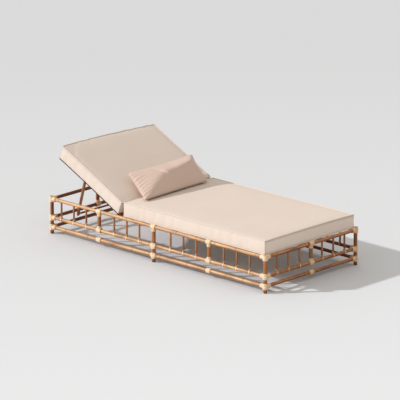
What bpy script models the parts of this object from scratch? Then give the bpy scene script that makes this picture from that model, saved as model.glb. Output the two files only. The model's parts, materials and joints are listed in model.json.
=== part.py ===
"""Rattan sun lounger: a bound pole frame, a hinged backrest on a folding prop, and loose cushions.

Metres, +Z up. +X points to the foot end and +Y to the left of someone lying on it.
The origin is on the floor under the middle of the bed.
"""

import math

import bmesh
import bpy
from mathutils import Matrix, Vector

# Frame, between the centres of the corner posts
BED_LENGTH = 2.000
BED_WIDTH = 0.890
HEAD_BAY = 0.455            # corner post to the first short post on a long side
OTHER_BAYS = 3
SPINDLES_IN_BAY = 3
SPINDLE_STEP = 0.119         # between the spindles of a bay on a long side
SPINDLE_SHIFTS = (-0.016, 0.004, 0.020, -0.002)   # of each bay's spindles off its middle
TOP_RAIL_Z = 0.247
MID_RAIL_Z = 0.115
LOW_RAIL_Z = 0.047

# Poles
POST_R = 0.0135
RAIL_R = 0.0125
RUNG_R = 0.0110
SPINDLE_R = 0.0070
POLE_SIDES = 12
TURNING_SIDES = 24          # pins, eyes and notches that turn against each other
SPINDLE_SIDES = 8

# Peel bindings round the joints
BIND_R = 0.0185             # wound over a rail
ARM_R = 0.0172              # wound over the end of a rail lengthwise, beside a post
CROSS_ARM_R = 0.0168        # the same over the end of a rail across the bed
NECK_R = 0.0165             # wound over a post's end under a rail
CORNER_ARM = 0.038          # reach of a corner binding along each rail
MIDDLE_ARM = 0.023          # the same at a middle post
TEE_HALF = 0.0195           # half the width of a binding where a rail runs through
COLLAR_HALF = 0.0210        # half the height of a binding round a post
NECK_LENGTH = 0.028
BIND_SLOPE = 0.0025         # the rounded shoulder of a binding
SPINDLE_BIND_R = 0.0095
SPINDLE_BIND_LENGTH = 0.012

# Feet
GLIDE_R = 0.0115
GLIDE_HEIGHT = 0.0037

# Fits
GAP = 0.0003                # between pieces that touch
TURNING_GAP = 0.0004        # between a pin and the eye that turns on it
SOCKET_CUT = 0.0005         # how far a rail's socket is cut into its post

# Deck under the seat cushion
RUNG_COUNT = 2              # in each bay

# Backrest, measured along the back from the hinge
RECLINE_DEG = 26.9          # above the flat
HINGE_AT = 0.6115           # from the head posts
EYE_R = 0.0176
EYE_WIDTH = 0.032
STILE_Y = 0.370
STILE_SHORT = 0.055         # stile's end, inside the upper edge of the back cushion
CROSS_POLE_R = 0.0090
CROSS_POLES = 3
FIRST_CROSS_POLE = 0.070
CROSS_POLE_STEP = 0.150
PIVOT_INSET = 0.029          # prop's pivot pole, inside the stile's end
PROP_PIVOT_R = 0.0100

# Prop that holds the backrest up
STRUT_Y = 0.204
STRUT_R = 0.0105
STRUT_EYE_R = 0.0165
STRUT_EYE_WIDTH = 0.024
NOTCH_DEPTH = 0.0040        # how far a strut's foot is let over the rail that it stands against
STRUT_TAPER = 0.008         # the strut's tip, past the crossbar
STRUT_TIP_R = 0.0045
CROSSBAR_R = 0.0070
CROSSBAR_CLEAR = 0.003      # between the crossbar and the binding on the mid rail

# Cushions
CUSHION_INSET = 0.008        # each side, in from the middle of the long rails
CUSHION_WIDTH = BED_WIDTH - 2 * CUSHION_INSET
CUSHION_EDGE = 0.098        # thickness at the edge
CUSHION_CROWN = 0.009       # extra thickness in the middle
CUSHION_DRAW = 0.005        # how far the sides are drawn in between the corners
CUSHION_ROUND = 0.011
CROWN_POWER = 6             # how flat the crown is before it falls to the edge
SEAT_CUTS = (12, 8)         # facets along and across the crown
BACK_CUTS = (8, 8)
SEAT_HEAD_AT = 0.680        # head face of the seat cushion, from the head posts
SEAT_FOOT_INSET = 0.010     # foot face, inside the foot posts
BACK_OVERHANG = 0.006       # lower edge of the back cushion, past the hinge
BACK_LENGTH = 0.636

# Pillow
PILLOW_WIDTH = 0.632
PILLOW_HEIGHT = 0.236
PILLOW_THICK = 0.146
PILLOW_SEAM = 0.0050        # thickness at the seam
PILLOW_PINCH = 0.014        # how far the seams are drawn in between the corners
PILLOW_TILT_DEG = 42.0      # above the flat
PILLOW_OVER_SEAT = 0.077    # middle of the pillow over the seat cushion that it stands on
PILLOW_OFF_BACK = 0.076     # middle of the pillow off the back cushion that it leans on

HALF_LENGTH = BED_LENGTH / 2
HALF_WIDTH = BED_WIDTH / 2
OTHER_BAY = (BED_LENGTH - HEAD_BAY) / OTHER_BAYS
SOCKET_AT = POST_R - SOCKET_CUT
BORE_R = RAIL_R + GAP
POST_TOP = TOP_RAIL_Z + BIND_R
CUSHION_REST = TOP_RAIL_Z + RUNG_R + GAP
RECLINE = math.radians(RECLINE_DEG)
STILE_LENGTH = BACK_LENGTH - BACK_OVERHANG - STILE_SHORT
PROP_PIVOT_AT = STILE_LENGTH - PIVOT_INSET


def from_head(distance):
    """World X of a point at this distance from the head posts."""
    return distance - HALF_LENGTH


def clear_scene():
    for old in list(bpy.data.objects):
        bpy.data.objects.remove(old, do_unlink=True)


def finish(name, colour, roughness):
    """A material with one colour and roughness."""
    made = bpy.data.materials.new(name)
    made.use_nodes = True
    shader = made.node_tree.nodes["Principled BSDF"]
    shader.inputs["Base Color"].default_value = (*colour, 1.0)
    shader.inputs["Roughness"].default_value = roughness
    shader.inputs["Metallic"].default_value = 0.0
    return made


def turned(profile, sides=POLE_SIDES):
    """A mesh turned about Z from (radius, height) points, from one end on the axis to the other."""
    bm = bmesh.new()
    points = [bm.verts.new((radius, 0.0, height)) for radius, height in profile]
    edges = [bm.edges.new(pair) for pair in zip(points, points[1:])]
    bmesh.ops.spin(bm, geom=points + edges, cent=(0, 0, 0), axis=(0, 0, 1),
                   angle=math.tau, steps=sides, use_merge=True)
    bmesh.ops.remove_doubles(bm, verts=bm.verts, dist=1e-6)
    bmesh.ops.recalc_face_normals(bm, faces=bm.faces)
    mesh = bpy.data.meshes.new("turned")
    bm.to_mesh(mesh)
    bm.free()
    return mesh


def place(name, mesh, look, start=(0, 0, 0), along=None, parent=None):
    """An object at start under its parent, with its own Z axis in the direction along, if given."""
    piece = bpy.data.objects.new(name, mesh)
    bpy.context.collection.objects.link(piece)
    piece.parent = parent
    piece.location = start
    if along is not None:
        piece.rotation_euler = Vector(along).to_track_quat("Z", "Y").to_euler()
    if look is not None:
        mesh.materials.clear()
        mesh.materials.append(look)
    shade(mesh)
    return piece


def shade(mesh):
    mesh.shade_smooth()
    mesh.set_sharp_from_angle(angle=math.radians(40))


def rod(radius, length):
    return [(0, 0), (radius, 0), (radius, length), (0, length)]


def band(radius, low, high, core):
    """Profile points of a binding on a pole of radius core, from low to high."""
    return [(core, low), (radius - BIND_SLOPE, low), (radius, low + BIND_SLOPE),
            (radius, high - BIND_SLOPE), (radius - BIND_SLOPE, high), (core, high)]


def barrel(radius, length):
    """Profile of a binding as a solid drum with rounded shoulders."""
    shoulder = radius - BIND_SLOPE
    return [(0, 0), (shoulder, 0), (radius, BIND_SLOPE),
            (radius, length - BIND_SLOPE), (shoulder, length), (0, length)]


def work_together(piece, operation, tools):
    """Join the tools to the piece, or cut them out of it, and drop the tools."""
    group = bpy.data.collections.new("tools")
    bpy.context.scene.collection.children.link(group)
    for tool in tools:
        bpy.context.collection.objects.unlink(tool)
        group.objects.link(tool)
        tool.display_type = "WIRE"
        tool.hide_render = True
    step = piece.modifiers.new("work", "BOOLEAN")
    step.operation = operation
    step.solver = "EXACT"
    step.operand_type = "COLLECTION"
    step.collection = group
    bpy.context.view_layer.update()
    scene_state = bpy.context.evaluated_depsgraph_get()
    result = bpy.data.meshes.new_from_object(piece.evaluated_get(scene_state))
    piece.modifiers.clear()
    piece.data = result
    for tool in tools:
        bpy.data.objects.remove(tool, do_unlink=True)
    bpy.data.collections.remove(group)
    shade(result)
    return piece


def pole(name, look, start, end, radius, sides=POLE_SIDES, parent=None):
    """A plain pole from start to end."""
    run = Vector(end) - Vector(start)
    return place(name, turned(rod(radius, run.length), sides), look, start, run, parent)


def tool_drum(radius, centre, direction, half_length, parent=None, sides=POLE_SIDES):
    """A plain drum about a centre, for joining or cutting."""
    start = Vector(centre) - Vector(direction) * half_length
    drum = turned(rod(radius, 2 * half_length), sides)
    return place("tool", drum, None, start, direction, parent)


def tool_barrel(radius, start, direction, length):
    return place("tool", turned(barrel(radius, length)), None, start, direction)


def socket_arm(centre, direction, reach):
    """The binding over a rail's end beside a post, and the socket that the rail's end sits in."""
    radius = ARM_R if direction[0] else CROSS_ARM_R
    arm = tool_barrel(radius, centre, direction, reach)
    depth = reach - SOCKET_AT + GAP
    middle = Vector(centre) + Vector(direction) * (SOCKET_AT + depth / 2)
    return arm, tool_drum(BORE_R, middle, direction, depth / 2)


def ring(centre, direction):
    """The binding round a rail that runs through a joint, and the bore for the rail."""
    start = Vector(centre) - Vector(direction) * TEE_HALF
    drum = tool_barrel(BIND_R, start, direction, 2 * TEE_HALF)
    return drum, tool_drum(BORE_R, centre, direction, TEE_HALF + GAP)


def full_post(name, look, x, y, arms, rail_through=None):
    """A post from its glide to the top rails, with the bindings that hold the rails to it.

    arms lists (height, direction, reach) for each rail that ends at the post, and rail_through
    is the direction of a top rail that runs over it.
    """
    profile = [(0, GLIDE_HEIGHT + GAP), (POST_R, GLIDE_HEIGHT + GAP)]
    for z in (LOW_RAIL_Z, MID_RAIL_Z):
        profile += band(BIND_R, z - COLLAR_HALF, z + COLLAR_HALF, POST_R)
    if rail_through is None:
        low = TOP_RAIL_Z - COLLAR_HALF
        shoulder = BIND_R - BIND_SLOPE
        profile += [(POST_R, low), (shoulder, low), (BIND_R, low + BIND_SLOPE),
                    (BIND_R, POST_TOP - BIND_SLOPE), (shoulder, POST_TOP), (0, POST_TOP)]
    else:
        low = TOP_RAIL_Z - NECK_LENGTH
        shoulder = NECK_R - BIND_SLOPE
        profile += [(POST_R, low), (shoulder, low), (NECK_R, low + BIND_SLOPE),
                    (NECK_R, TOP_RAIL_Z), (0, TOP_RAIL_Z)]
    post = place(name, turned(profile), look, (x, y, 0))
    joins = []
    cuts = []
    for height, direction, reach in arms:
        arm, socket = socket_arm((x, y, height), direction, reach)
        joins.append(arm)
        cuts.append(socket)
    if rail_through is not None:
        drum, bore = ring((x, y, TOP_RAIL_Z), rail_through)
        joins.append(drum)
        cuts.append(bore)
    work_together(post, "UNION", joins)
    return work_together(post, "DIFFERENCE", cuts)


def short_post(name, look, x, y, rail_direction):
    """A post between the mid rail and the top rail, bound round both."""
    shoulder = NECK_R - BIND_SLOPE
    height = TOP_RAIL_Z - MID_RAIL_Z
    profile = [(0, 0), (NECK_R, 0), (NECK_R, NECK_LENGTH - BIND_SLOPE),
               (shoulder, NECK_LENGTH), (POST_R, NECK_LENGTH),
               (POST_R, height - NECK_LENGTH), (shoulder, height - NECK_LENGTH),
               (NECK_R, height - NECK_LENGTH + BIND_SLOPE), (NECK_R, height), (0, height)]
    post = place(name, turned(profile), look, (x, y, MID_RAIL_Z))
    drums = [ring((x, y, z), rail_direction) for z in (MID_RAIL_Z, TOP_RAIL_Z)]
    work_together(post, "UNION", [drum for drum, bore in drums])
    return work_together(post, "DIFFERENCE", [bore for drum, bore in drums])


def spindled_rail(name, look, start, end, spindle_points):
    """A mid rail with its spindles standing on it, each bound at its foot."""
    rail = pole(name, look, start, end, RAIL_R)
    top = TOP_RAIL_Z - RAIL_R - GAP - MID_RAIL_Z
    bind_low = RAIL_R / 2
    bind_top = RAIL_R + SPINDLE_BIND_LENGTH
    profile = [(0, 0), (SPINDLE_R, 0), (SPINDLE_R, bind_low), (SPINDLE_BIND_R, bind_low),
               (SPINDLE_BIND_R, bind_top - BIND_SLOPE / 2), (SPINDLE_R, bind_top),
               (SPINDLE_R, top), (0, top)]
    spindles = [place("tool", turned(profile, SPINDLE_SIDES), None, (x, y, MID_RAIL_Z))
                for x, y in spindle_points]
    return work_together(rail, "UNION", spindles)


def long_side_posts():
    """Distances from the head posts to the three posts between the corners of a long side."""
    return [HEAD_BAY + step * OTHER_BAY for step in range(OTHER_BAYS)]


def between(low, high, count):
    """Evenly spaced places for count pieces between two posts."""
    return [low + (high - low) * (step + 1) / (count + 1) for step in range(count)]


def spindles_in(low, high, shift):
    """Places for a bay's spindles, about its middle but for the shift."""
    middle = (low + high) / 2 + shift
    return [middle + SPINDLE_STEP * (step - (SPINDLES_IN_BAY - 1) / 2)
            for step in range(SPINDLES_IN_BAY)]


def build_posts(rattan):
    heights = (LOW_RAIL_Z, MID_RAIL_Z, TOP_RAIL_Z)
    first, middle, third = [from_head(distance) for distance in long_side_posts()]
    for side, sign in (("right", -1), ("left", 1)):
        y = sign * HALF_WIDTH
        for end, facing in (("head", 1), ("foot", -1)):
            x = -facing * HALF_LENGTH
            arms = [(z, (facing, 0, 0), CORNER_ARM) for z in heights]
            arms += [(z, (0, -sign, 0), CORNER_ARM) for z in heights]
            full_post(f"corner_post_{end}_{side}", rattan, x, y, arms)
        arms = [(z, (facing, 0, 0), MIDDLE_ARM) for z in heights[:2] for facing in (-1, 1)]
        full_post(f"middle_post_{side}", rattan, middle, y, arms, rail_through=(1, 0, 0))
        short_post(f"short_post_head_{side}", rattan, first, y, (1, 0, 0))
        short_post(f"short_post_foot_{side}", rattan, third, y, (1, 0, 0))
    short_post("centre_post_head", rattan, -HALF_LENGTH, 0, (0, 1, 0))
    short_post("centre_post_foot", rattan, HALF_LENGTH, 0, (0, 1, 0))


def build_rails(rattan):
    rail_end = SOCKET_AT + GAP
    first, middle, third = [from_head(distance) for distance in long_side_posts()]
    posts = [-HALF_LENGTH, first, middle, third, HALF_LENGTH]
    for side, y in (("right", -HALF_WIDTH), ("left", HALF_WIDTH)):
        pole(f"top_rail_{side}", rattan, (-HALF_LENGTH + rail_end, y, TOP_RAIL_Z),
             (HALF_LENGTH - rail_end, y, TOP_RAIL_Z), RAIL_R)
        for end, bays in (("head", (0, 1)), ("foot", (2, 3))):
            start = posts[bays[0]] + rail_end
            stop = posts[bays[-1] + 1] - rail_end
            points = [(x, y) for bay in bays
                      for x in spindles_in(posts[bay], posts[bay + 1], SPINDLE_SHIFTS[bay])]
            spindled_rail(f"mid_rail_{end}_{side}", rattan, (start, y, MID_RAIL_Z),
                          (stop, y, MID_RAIL_Z), points)
            pole(f"low_rail_{end}_{side}", rattan, (start, y, LOW_RAIL_Z),
                 (stop, y, LOW_RAIL_Z), RAIL_R)
    reach = HALF_WIDTH - rail_end
    for end, x in (("head", -HALF_LENGTH), ("foot", HALF_LENGTH)):
        pole(f"top_rail_{end}", rattan, (x, -reach, TOP_RAIL_Z), (x, reach, TOP_RAIL_Z), RAIL_R)
        pole(f"low_rail_{end}", rattan, (x, -reach, LOW_RAIL_Z), (x, reach, LOW_RAIL_Z), RAIL_R)
    pole("mid_rail_head", rattan, (-HALF_LENGTH, -reach, MID_RAIL_Z),
         (-HALF_LENGTH, reach, MID_RAIL_Z), RAIL_R)
    points = [(HALF_LENGTH, y) for half in ((-HALF_WIDTH, 0), (0, HALF_WIDTH))
              for y in between(*half, SPINDLES_IN_BAY)]
    spindled_rail("mid_rail_foot", rattan, (HALF_LENGTH, -reach, MID_RAIL_Z),
                  (HALF_LENGTH, reach, MID_RAIL_Z), points)


def build_low_bindings(peel):
    """The bindings on the low rails, under the posts that stop at the mid rails."""
    first, middle, third = [from_head(distance) for distance in long_side_posts()]
    places = [("head_right", first, -HALF_WIDTH, (1, 0, 0)),
              ("foot_right", third, -HALF_WIDTH, (1, 0, 0)),
              ("head_left", first, HALF_WIDTH, (1, 0, 0)),
              ("foot_left", third, HALF_WIDTH, (1, 0, 0)),
              ("head_end", -HALF_LENGTH, 0, (0, 1, 0)),
              ("foot_end", HALF_LENGTH, 0, (0, 1, 0))]
    for where, x, y, direction in places:
        start = Vector((x, y, LOW_RAIL_Z)) - Vector(direction) * TEE_HALF
        wrap = place(f"low_binding_{where}", turned(barrel(BIND_R, 2 * TEE_HALF)), peel,
                     start, direction)
        work_together(wrap, "DIFFERENCE",
                      [tool_drum(BORE_R, (x, y, LOW_RAIL_Z), direction, TEE_HALF + GAP)])


def build_glides(rubber):
    middle = from_head(long_side_posts()[1])
    for side, y in (("right", -HALF_WIDTH), ("left", HALF_WIDTH)):
        for where, x in (("head", -HALF_LENGTH), ("middle", middle), ("foot", HALF_LENGTH)):
            pole(f"foot_glide_{where}_{side}", rubber, (x, y, 0), (x, y, GLIDE_HEIGHT), GLIDE_R)


def build_deck(rattan):
    """Rungs from side rail to side rail, a spine under them, and the hinge rail."""
    reach = HALF_WIDTH - RAIL_R - GAP
    hinge_x = from_head(HINGE_AT)
    middle, third = [from_head(distance) for distance in long_side_posts()[1:]]
    stops = [hinge_x, middle, third, HALF_LENGTH]
    rungs = [x for bay in zip(stops, stops[1:]) for x in between(*bay, RUNG_COUNT)]
    for number, x in enumerate(rungs):
        pole(f"deck_rung_{number + 1}", rattan, (x, -reach, TOP_RAIL_Z),
             (x, reach, TOP_RAIL_Z), RUNG_R)
    pole("hinge_rail", rattan, (hinge_x, -reach, TOP_RAIL_Z), (hinge_x, reach, TOP_RAIL_Z),
         RAIL_R, TURNING_SIDES)
    spine_z = TOP_RAIL_Z - RUNG_R - GAP - RAIL_R
    below = TOP_RAIL_Z - spine_z - RAIL_R
    at_hinge = math.sqrt(RAIL_R ** 2 - below ** 2) + GAP
    at_foot = max(math.sqrt(BIND_R ** 2 - below ** 2), NECK_R) + GAP
    pole("deck_spine", rattan, (hinge_x + at_hinge, 0, spine_z),
         (HALF_LENGTH - at_foot, 0, spine_z), RAIL_R)


def pivot(name, location, turn, parent=None):
    """An empty on a joint's axis, turned about Y."""
    axis = bpy.data.objects.new(name, None)
    bpy.context.collection.objects.link(axis)
    axis.parent = parent
    axis.location = location
    axis.rotation_euler = (0, turn, 0)
    return axis


def build_backrest(rattan, back):
    """Two stiles that turn on the hinge rail, cross poles between them, and the prop's pivot pole.

    Drawn lying flat from the hinge towards the head; the pivot raises it.
    """
    stile_z = BIND_R - RUNG_R
    for side, sign in (("right", -1), ("left", 1)):
        y = sign * STILE_Y
        stile = pole(f"back_stile_{side}", rattan, (0, y, stile_z), (-STILE_LENGTH, y, stile_z),
                     RUNG_R, parent=back)
        eye = tool_drum(EYE_R, (0, y, 0), (0, 1, 0), EYE_WIDTH / 2, back, TURNING_SIDES)
        bore = tool_drum(RAIL_R + TURNING_GAP, (0, y, 0), (0, 1, 0), EYE_WIDTH, back, TURNING_SIDES)
        work_together(stile, "UNION", [eye])
        work_together(stile, "DIFFERENCE", [bore])
    reach = STILE_Y - RUNG_R - GAP
    cross_z = BIND_R - CROSS_POLE_R
    for number in range(CROSS_POLES):
        x = -(FIRST_CROSS_POLE + number * CROSS_POLE_STEP)
        pole(f"back_cross_pole_{number + 1}", rattan, (x, -reach, cross_z), (x, reach, cross_z),
             CROSS_POLE_R, parent=back)
    pole("prop_pivot_pole", rattan, (-PROP_PIVOT_AT, -reach, 0), (-PROP_PIVOT_AT, reach, 0),
         PROP_PIVOT_R, TURNING_SIDES, back)


def prop_geometry():
    """The prop's lean from the vertical, its length to the mid rail, and its offset from it.

    The crossbar then sits below the rail's centre, where it clears the centre post's binding.
    """
    pivot_x = HINGE_AT - PROP_PIVOT_AT * math.cos(RECLINE)
    pivot_z = TOP_RAIL_Z + PROP_PIVOT_AT * math.sin(RECLINE)
    drop = pivot_z - MID_RAIL_Z
    straight = math.hypot(pivot_x, drop)
    offset = RAIL_R + GAP + STRUT_R - NOTCH_DEPTH
    lean = math.atan2(pivot_x, drop) - math.asin(offset / straight)
    crossbar_below = math.sqrt((BIND_R + CROSSBAR_R + CROSSBAR_CLEAR) ** 2 - offset ** 2)
    return lean, math.sqrt(straight ** 2 - offset ** 2), offset, crossbar_below


def build_prop(rattan, prop, reach, offset, crossbar_below):
    """Two struts with eyes on the pivot pole and feet let over the mid rail, and a crossbar.

    Drawn hanging down from the pivot; the empty leans it.
    """
    length = reach + crossbar_below + CROSSBAR_R + STRUT_TAPER
    profile = [(0, 0), (STRUT_R, 0), (STRUT_R, length - STRUT_TAPER), (STRUT_TIP_R, length),
               (0, length)]
    for side, sign in (("right", -1), ("left", 1)):
        y = sign * STRUT_Y
        strut = place(f"prop_strut_{side}", turned(profile), rattan, (0, y, 0), (0, 0, -1), prop)
        eye = tool_drum(STRUT_EYE_R, (0, y, 0), (0, 1, 0), STRUT_EYE_WIDTH / 2, prop, TURNING_SIDES)
        cuts = [(PROP_PIVOT_R + TURNING_GAP, (0, y, 0), STRUT_EYE_WIDTH),
                (BORE_R, (-offset, y, -reach), 2 * STRUT_R)]
        work_together(strut, "UNION", [eye])
        work_together(strut, "DIFFERENCE",
                      [tool_drum(radius, centre, (0, 1, 0), half, prop, TURNING_SIDES)
                       for radius, centre, half in cuts])
    span = STRUT_Y - STRUT_R - GAP
    z = -(reach + crossbar_below)
    pole("prop_crossbar", rattan, (0, -span, z), (0, span, z), CROSSBAR_R, parent=prop)


def crown_share(place):
    """Share of the crown at a place from -1 to 1 along or across a cushion."""
    return 1 - abs(place) ** CROWN_POWER


def faceted_share(place, cuts):
    """The same on the flat facets between evenly spaced cuts."""
    steps = (max(-1, min(1, place)) + 1) / 2 * cuts
    low = min(math.floor(steps), cuts - 1)
    ends = [crown_share(2 * cut / cuts - 1) for cut in (low, low + 1)]
    return ends[0] + (ends[1] - ends[0]) * (steps - low)


def cushion(name, look, length, cuts, parent=None, location=(0, 0, 0)):
    """A box cushion from its own origin along +X, crowned on top, with sides drawn in."""
    bm = bmesh.new()
    box = Matrix.Diagonal((length, CUSHION_WIDTH, CUSHION_EDGE, 1))
    bmesh.ops.create_cube(bm, size=1.0, matrix=Matrix.Translation(
        (length / 2, 0, CUSHION_EDGE / 2)) @ box)
    for count, axis, size, middle in ((cuts[0], 0, length, length / 2),
                                      (cuts[1], 1, CUSHION_WIDTH, 0),
                                      (2, 2, CUSHION_EDGE, CUSHION_EDGE / 2)):
        for step in range(1, count):
            plane_co = [0, 0, 0]
            plane_no = [0, 0, 0]
            plane_co[axis] = middle - size / 2 + size * step / count
            plane_no[axis] = 1
            bmesh.ops.bisect_plane(bm, geom=bm.verts[:] + bm.edges[:] + bm.faces[:],
                                   plane_co=plane_co, plane_no=plane_no)
    for vert in bm.verts:
        along = 2 * vert.co.x / length - 1
        across = 2 * vert.co.y / CUSHION_WIDTH
        upright = vert.co.z / CUSHION_EDGE
        vert.co.z += upright * CUSHION_CROWN * crown_share(along) * crown_share(across)
        belly = 4 * upright * (1 - upright)
        draw = CUSHION_DRAW * (1 - belly)
        if abs(across) > 0.999:
            vert.co.y -= math.copysign(draw * (1 - along ** 2), across)
        if abs(along) > 0.999:
            vert.co.x -= math.copysign(draw * (1 - across ** 2), along)
    mesh = bpy.data.meshes.new(name)
    bm.to_mesh(mesh)
    bm.free()
    piece = place(name, mesh, look, location, parent=parent)
    rounding = piece.modifiers.new("rounded edges", "BEVEL")
    rounding.width = CUSHION_ROUND
    rounding.segments = 2
    rounding.limit_method = "ANGLE"
    rounding.angle_limit = math.radians(60)
    return piece


def pillow_half(along, across):
    """Half the pillow's thickness at places from -1 to 1 up and across it."""
    fill = ((1 - along ** 2) ** 0.55) * ((1 - across ** 4) ** 0.60)
    return PILLOW_SEAM / 2 + (PILLOW_THICK - PILLOW_SEAM) / 2 * fill


def pillow_mesh(rows, columns):
    """A filled pillow with a thin seam all round, lying in the XY plane."""
    bm = bmesh.new()
    faces = {}
    for side in (1, -1):
        for row in range(rows + 1):
            for column in range(columns + 1):
                along = -math.cos(math.pi * row / rows)
                across = -math.cos(math.pi * column / columns)
                x = along * (PILLOW_HEIGHT / 2 - PILLOW_PINCH * (1 - across ** 2))
                y = across * (PILLOW_WIDTH / 2 - PILLOW_PINCH * (1 - along ** 2))
                z = side * pillow_half(along, across)
                faces[side, row, column] = bm.verts.new((x, y, z))
    for side in (1, -1):
        for row in range(rows):
            for column in range(columns):
                corners = [(row, column), (row + 1, column), (row + 1, column + 1), (row, column + 1)]
                bm.faces.new([faces[side, r, c] for r, c in corners])
    rim = [(0, c) for c in range(columns)] + [(r, columns) for r in range(rows)]
    rim += [(rows, c) for c in range(columns, 0, -1)] + [(r, 0) for r in range(rows, 0, -1)]
    for (r, c), (next_r, next_c) in zip(rim, rim[1:] + rim[:1]):
        bm.faces.new([faces[1, r, c], faces[1, next_r, next_c],
                      faces[-1, next_r, next_c], faces[-1, r, c]])
    bmesh.ops.recalc_face_normals(bm, faces=bm.faces)
    mesh = bpy.data.meshes.new("pillow")
    bm.to_mesh(mesh)
    bm.free()
    return mesh


def seat_length():
    return BED_LENGTH - SEAT_FOOT_INSET - SEAT_HEAD_AT


def seat_top(spot):
    """Height of the seat cushion's top under a place."""
    along = 2 * (spot.x - from_head(SEAT_HEAD_AT)) / seat_length() - 1
    across = 2 * spot.y / CUSHION_WIDTH
    crown = faceted_share(along, SEAT_CUTS[0]) * faceted_share(across, SEAT_CUTS[1])
    return CUSHION_REST + CUSHION_EDGE + CUSHION_CROWN * crown


def press_pillow(mesh):
    """Flatten the leaning pillow where it stands on the seat and leans on the back.

    Returns the place of its middle.
    """
    turn = Matrix.Rotation(math.radians(PILLOW_TILT_DEG), 3, "Y")
    out_of_back = Vector((math.sin(RECLINE), 0, math.cos(RECLINE)))
    hinge = Vector((from_head(HINGE_AT), 0, TOP_RAIL_Z))
    back_face = hinge.dot(out_of_back) + BIND_R + GAP + CUSHION_EDGE + CUSHION_CROWN + GAP
    seat_face = CUSHION_REST + CUSHION_EDGE + GAP
    for settling in range(4):
        z = seat_face + PILLOW_OVER_SEAT
        x = (back_face + PILLOW_OFF_BACK - z * out_of_back.z) / out_of_back.x
        middle = Vector((x, 0, z))
        spots = [turn @ vert.co + middle for vert in mesh.vertices]
        seat_face = GAP + max(seat_top(spot) for spot in spots if spot.z < seat_face + GAP)
    for vert, spot in zip(mesh.vertices, spots):
        spot += out_of_back * max(0, back_face - spot.dot(out_of_back))
        spot.z = max(spot.z, seat_face)
        vert.co = turn.inverted() @ (spot - middle)
    return middle


def build_cushions(fabric, back):
    cushion("seat_cushion", fabric, seat_length(), SEAT_CUTS,
            location=(from_head(SEAT_HEAD_AT), 0, CUSHION_REST))
    cushion("back_cushion", fabric, BACK_LENGTH, BACK_CUTS, back,
            (BACK_OVERHANG - BACK_LENGTH, 0, BIND_R + GAP))
    mesh = pillow_mesh(10, 14)
    spot = press_pillow(mesh)
    pillow = place("pillow", mesh, fabric, spot)
    pillow.rotation_euler = (0, math.radians(PILLOW_TILT_DEG), 0)
    print("pillow rests at", [round(value, 4) for value in spot])


def build():
    clear_scene()
    rattan = finish("rattan pole", (0.56, 0.30, 0.13), 0.45)
    peel = finish("rattan peel", (0.86, 0.70, 0.47), 0.55)
    fabric = finish("cushion fabric", (0.78, 0.66, 0.58), 0.9)
    rubber = finish("rubber", (0.05, 0.045, 0.04), 0.85)
    build_posts(rattan)
    build_rails(rattan)
    build_low_bindings(peel)
    build_glides(rubber)
    build_deck(rattan)
    back = pivot("backrest_pivot", (from_head(HINGE_AT), 0, TOP_RAIL_Z), RECLINE)
    build_backrest(rattan, back)
    lean, reach, offset, crossbar_below = prop_geometry()
    prop = pivot("prop_pivot", (-PROP_PIVOT_AT, 0, 0), lean - RECLINE, back)
    build_prop(rattan, prop, reach, offset, crossbar_below)
    build_cushions(fabric, back)
    print("prop leans", round(math.degrees(lean), 2), "degrees and reaches", round(reach, 4))
    bpy.context.view_layer.update()
    print("prop pivot at", [round(value, 5) for value in prop.matrix_world.translation])


build()
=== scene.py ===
# %% [markdown]
# # A rattan sun lounger
# The lounger is a low bed of cane poles. Every joint is wound with pale peel, the thin outer
# skin of the cane. A backrest turns on a cross rail and stands on a prop, and a seat cushion,
# a back cushion and a small pillow lie on top.
#
# The CAD frame is loaded first. It fixes where every pole is, so each piece below is built
# around its box and rides on its body.

# %% Load the frame
import json
import math
import random

import bmesh
import bpy
from mathutils import Matrix, Vector, noise


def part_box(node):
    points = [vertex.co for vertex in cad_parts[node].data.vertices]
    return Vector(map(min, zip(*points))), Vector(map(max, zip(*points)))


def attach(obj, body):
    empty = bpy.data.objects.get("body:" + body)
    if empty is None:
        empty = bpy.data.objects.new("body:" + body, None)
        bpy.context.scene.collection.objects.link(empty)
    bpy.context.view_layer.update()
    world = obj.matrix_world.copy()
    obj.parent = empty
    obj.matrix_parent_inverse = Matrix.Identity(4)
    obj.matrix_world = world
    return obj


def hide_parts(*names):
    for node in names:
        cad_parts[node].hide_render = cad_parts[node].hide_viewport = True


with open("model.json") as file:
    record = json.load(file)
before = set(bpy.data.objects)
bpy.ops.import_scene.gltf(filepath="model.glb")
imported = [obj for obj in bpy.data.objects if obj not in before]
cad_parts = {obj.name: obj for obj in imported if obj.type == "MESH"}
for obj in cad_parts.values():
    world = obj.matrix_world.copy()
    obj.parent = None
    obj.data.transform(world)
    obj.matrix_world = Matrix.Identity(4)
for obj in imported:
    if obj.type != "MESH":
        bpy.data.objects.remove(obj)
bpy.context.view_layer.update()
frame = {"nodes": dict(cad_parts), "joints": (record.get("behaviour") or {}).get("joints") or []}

# %% [markdown]
# ## Camera
# A product picture is taken from far away with a long lens, so that parallel rails stay
# nearly parallel. The camera is 42 m away, and the lens is long enough to fill the frame.

# %% Camera
AZIMUTH = math.radians(43.66)
ELEVATION = math.radians(16.47)
DISTANCE = 41.58
LENS_MM = 540
VIEW_END = 200
LOOK_AT = Vector((-0.587, 0.591, 0.100))


def add_object(name, data):
    """A new object, placed in the scene."""
    made = bpy.data.objects.new(name, data)
    bpy.context.collection.objects.link(made)
    return made


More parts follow.
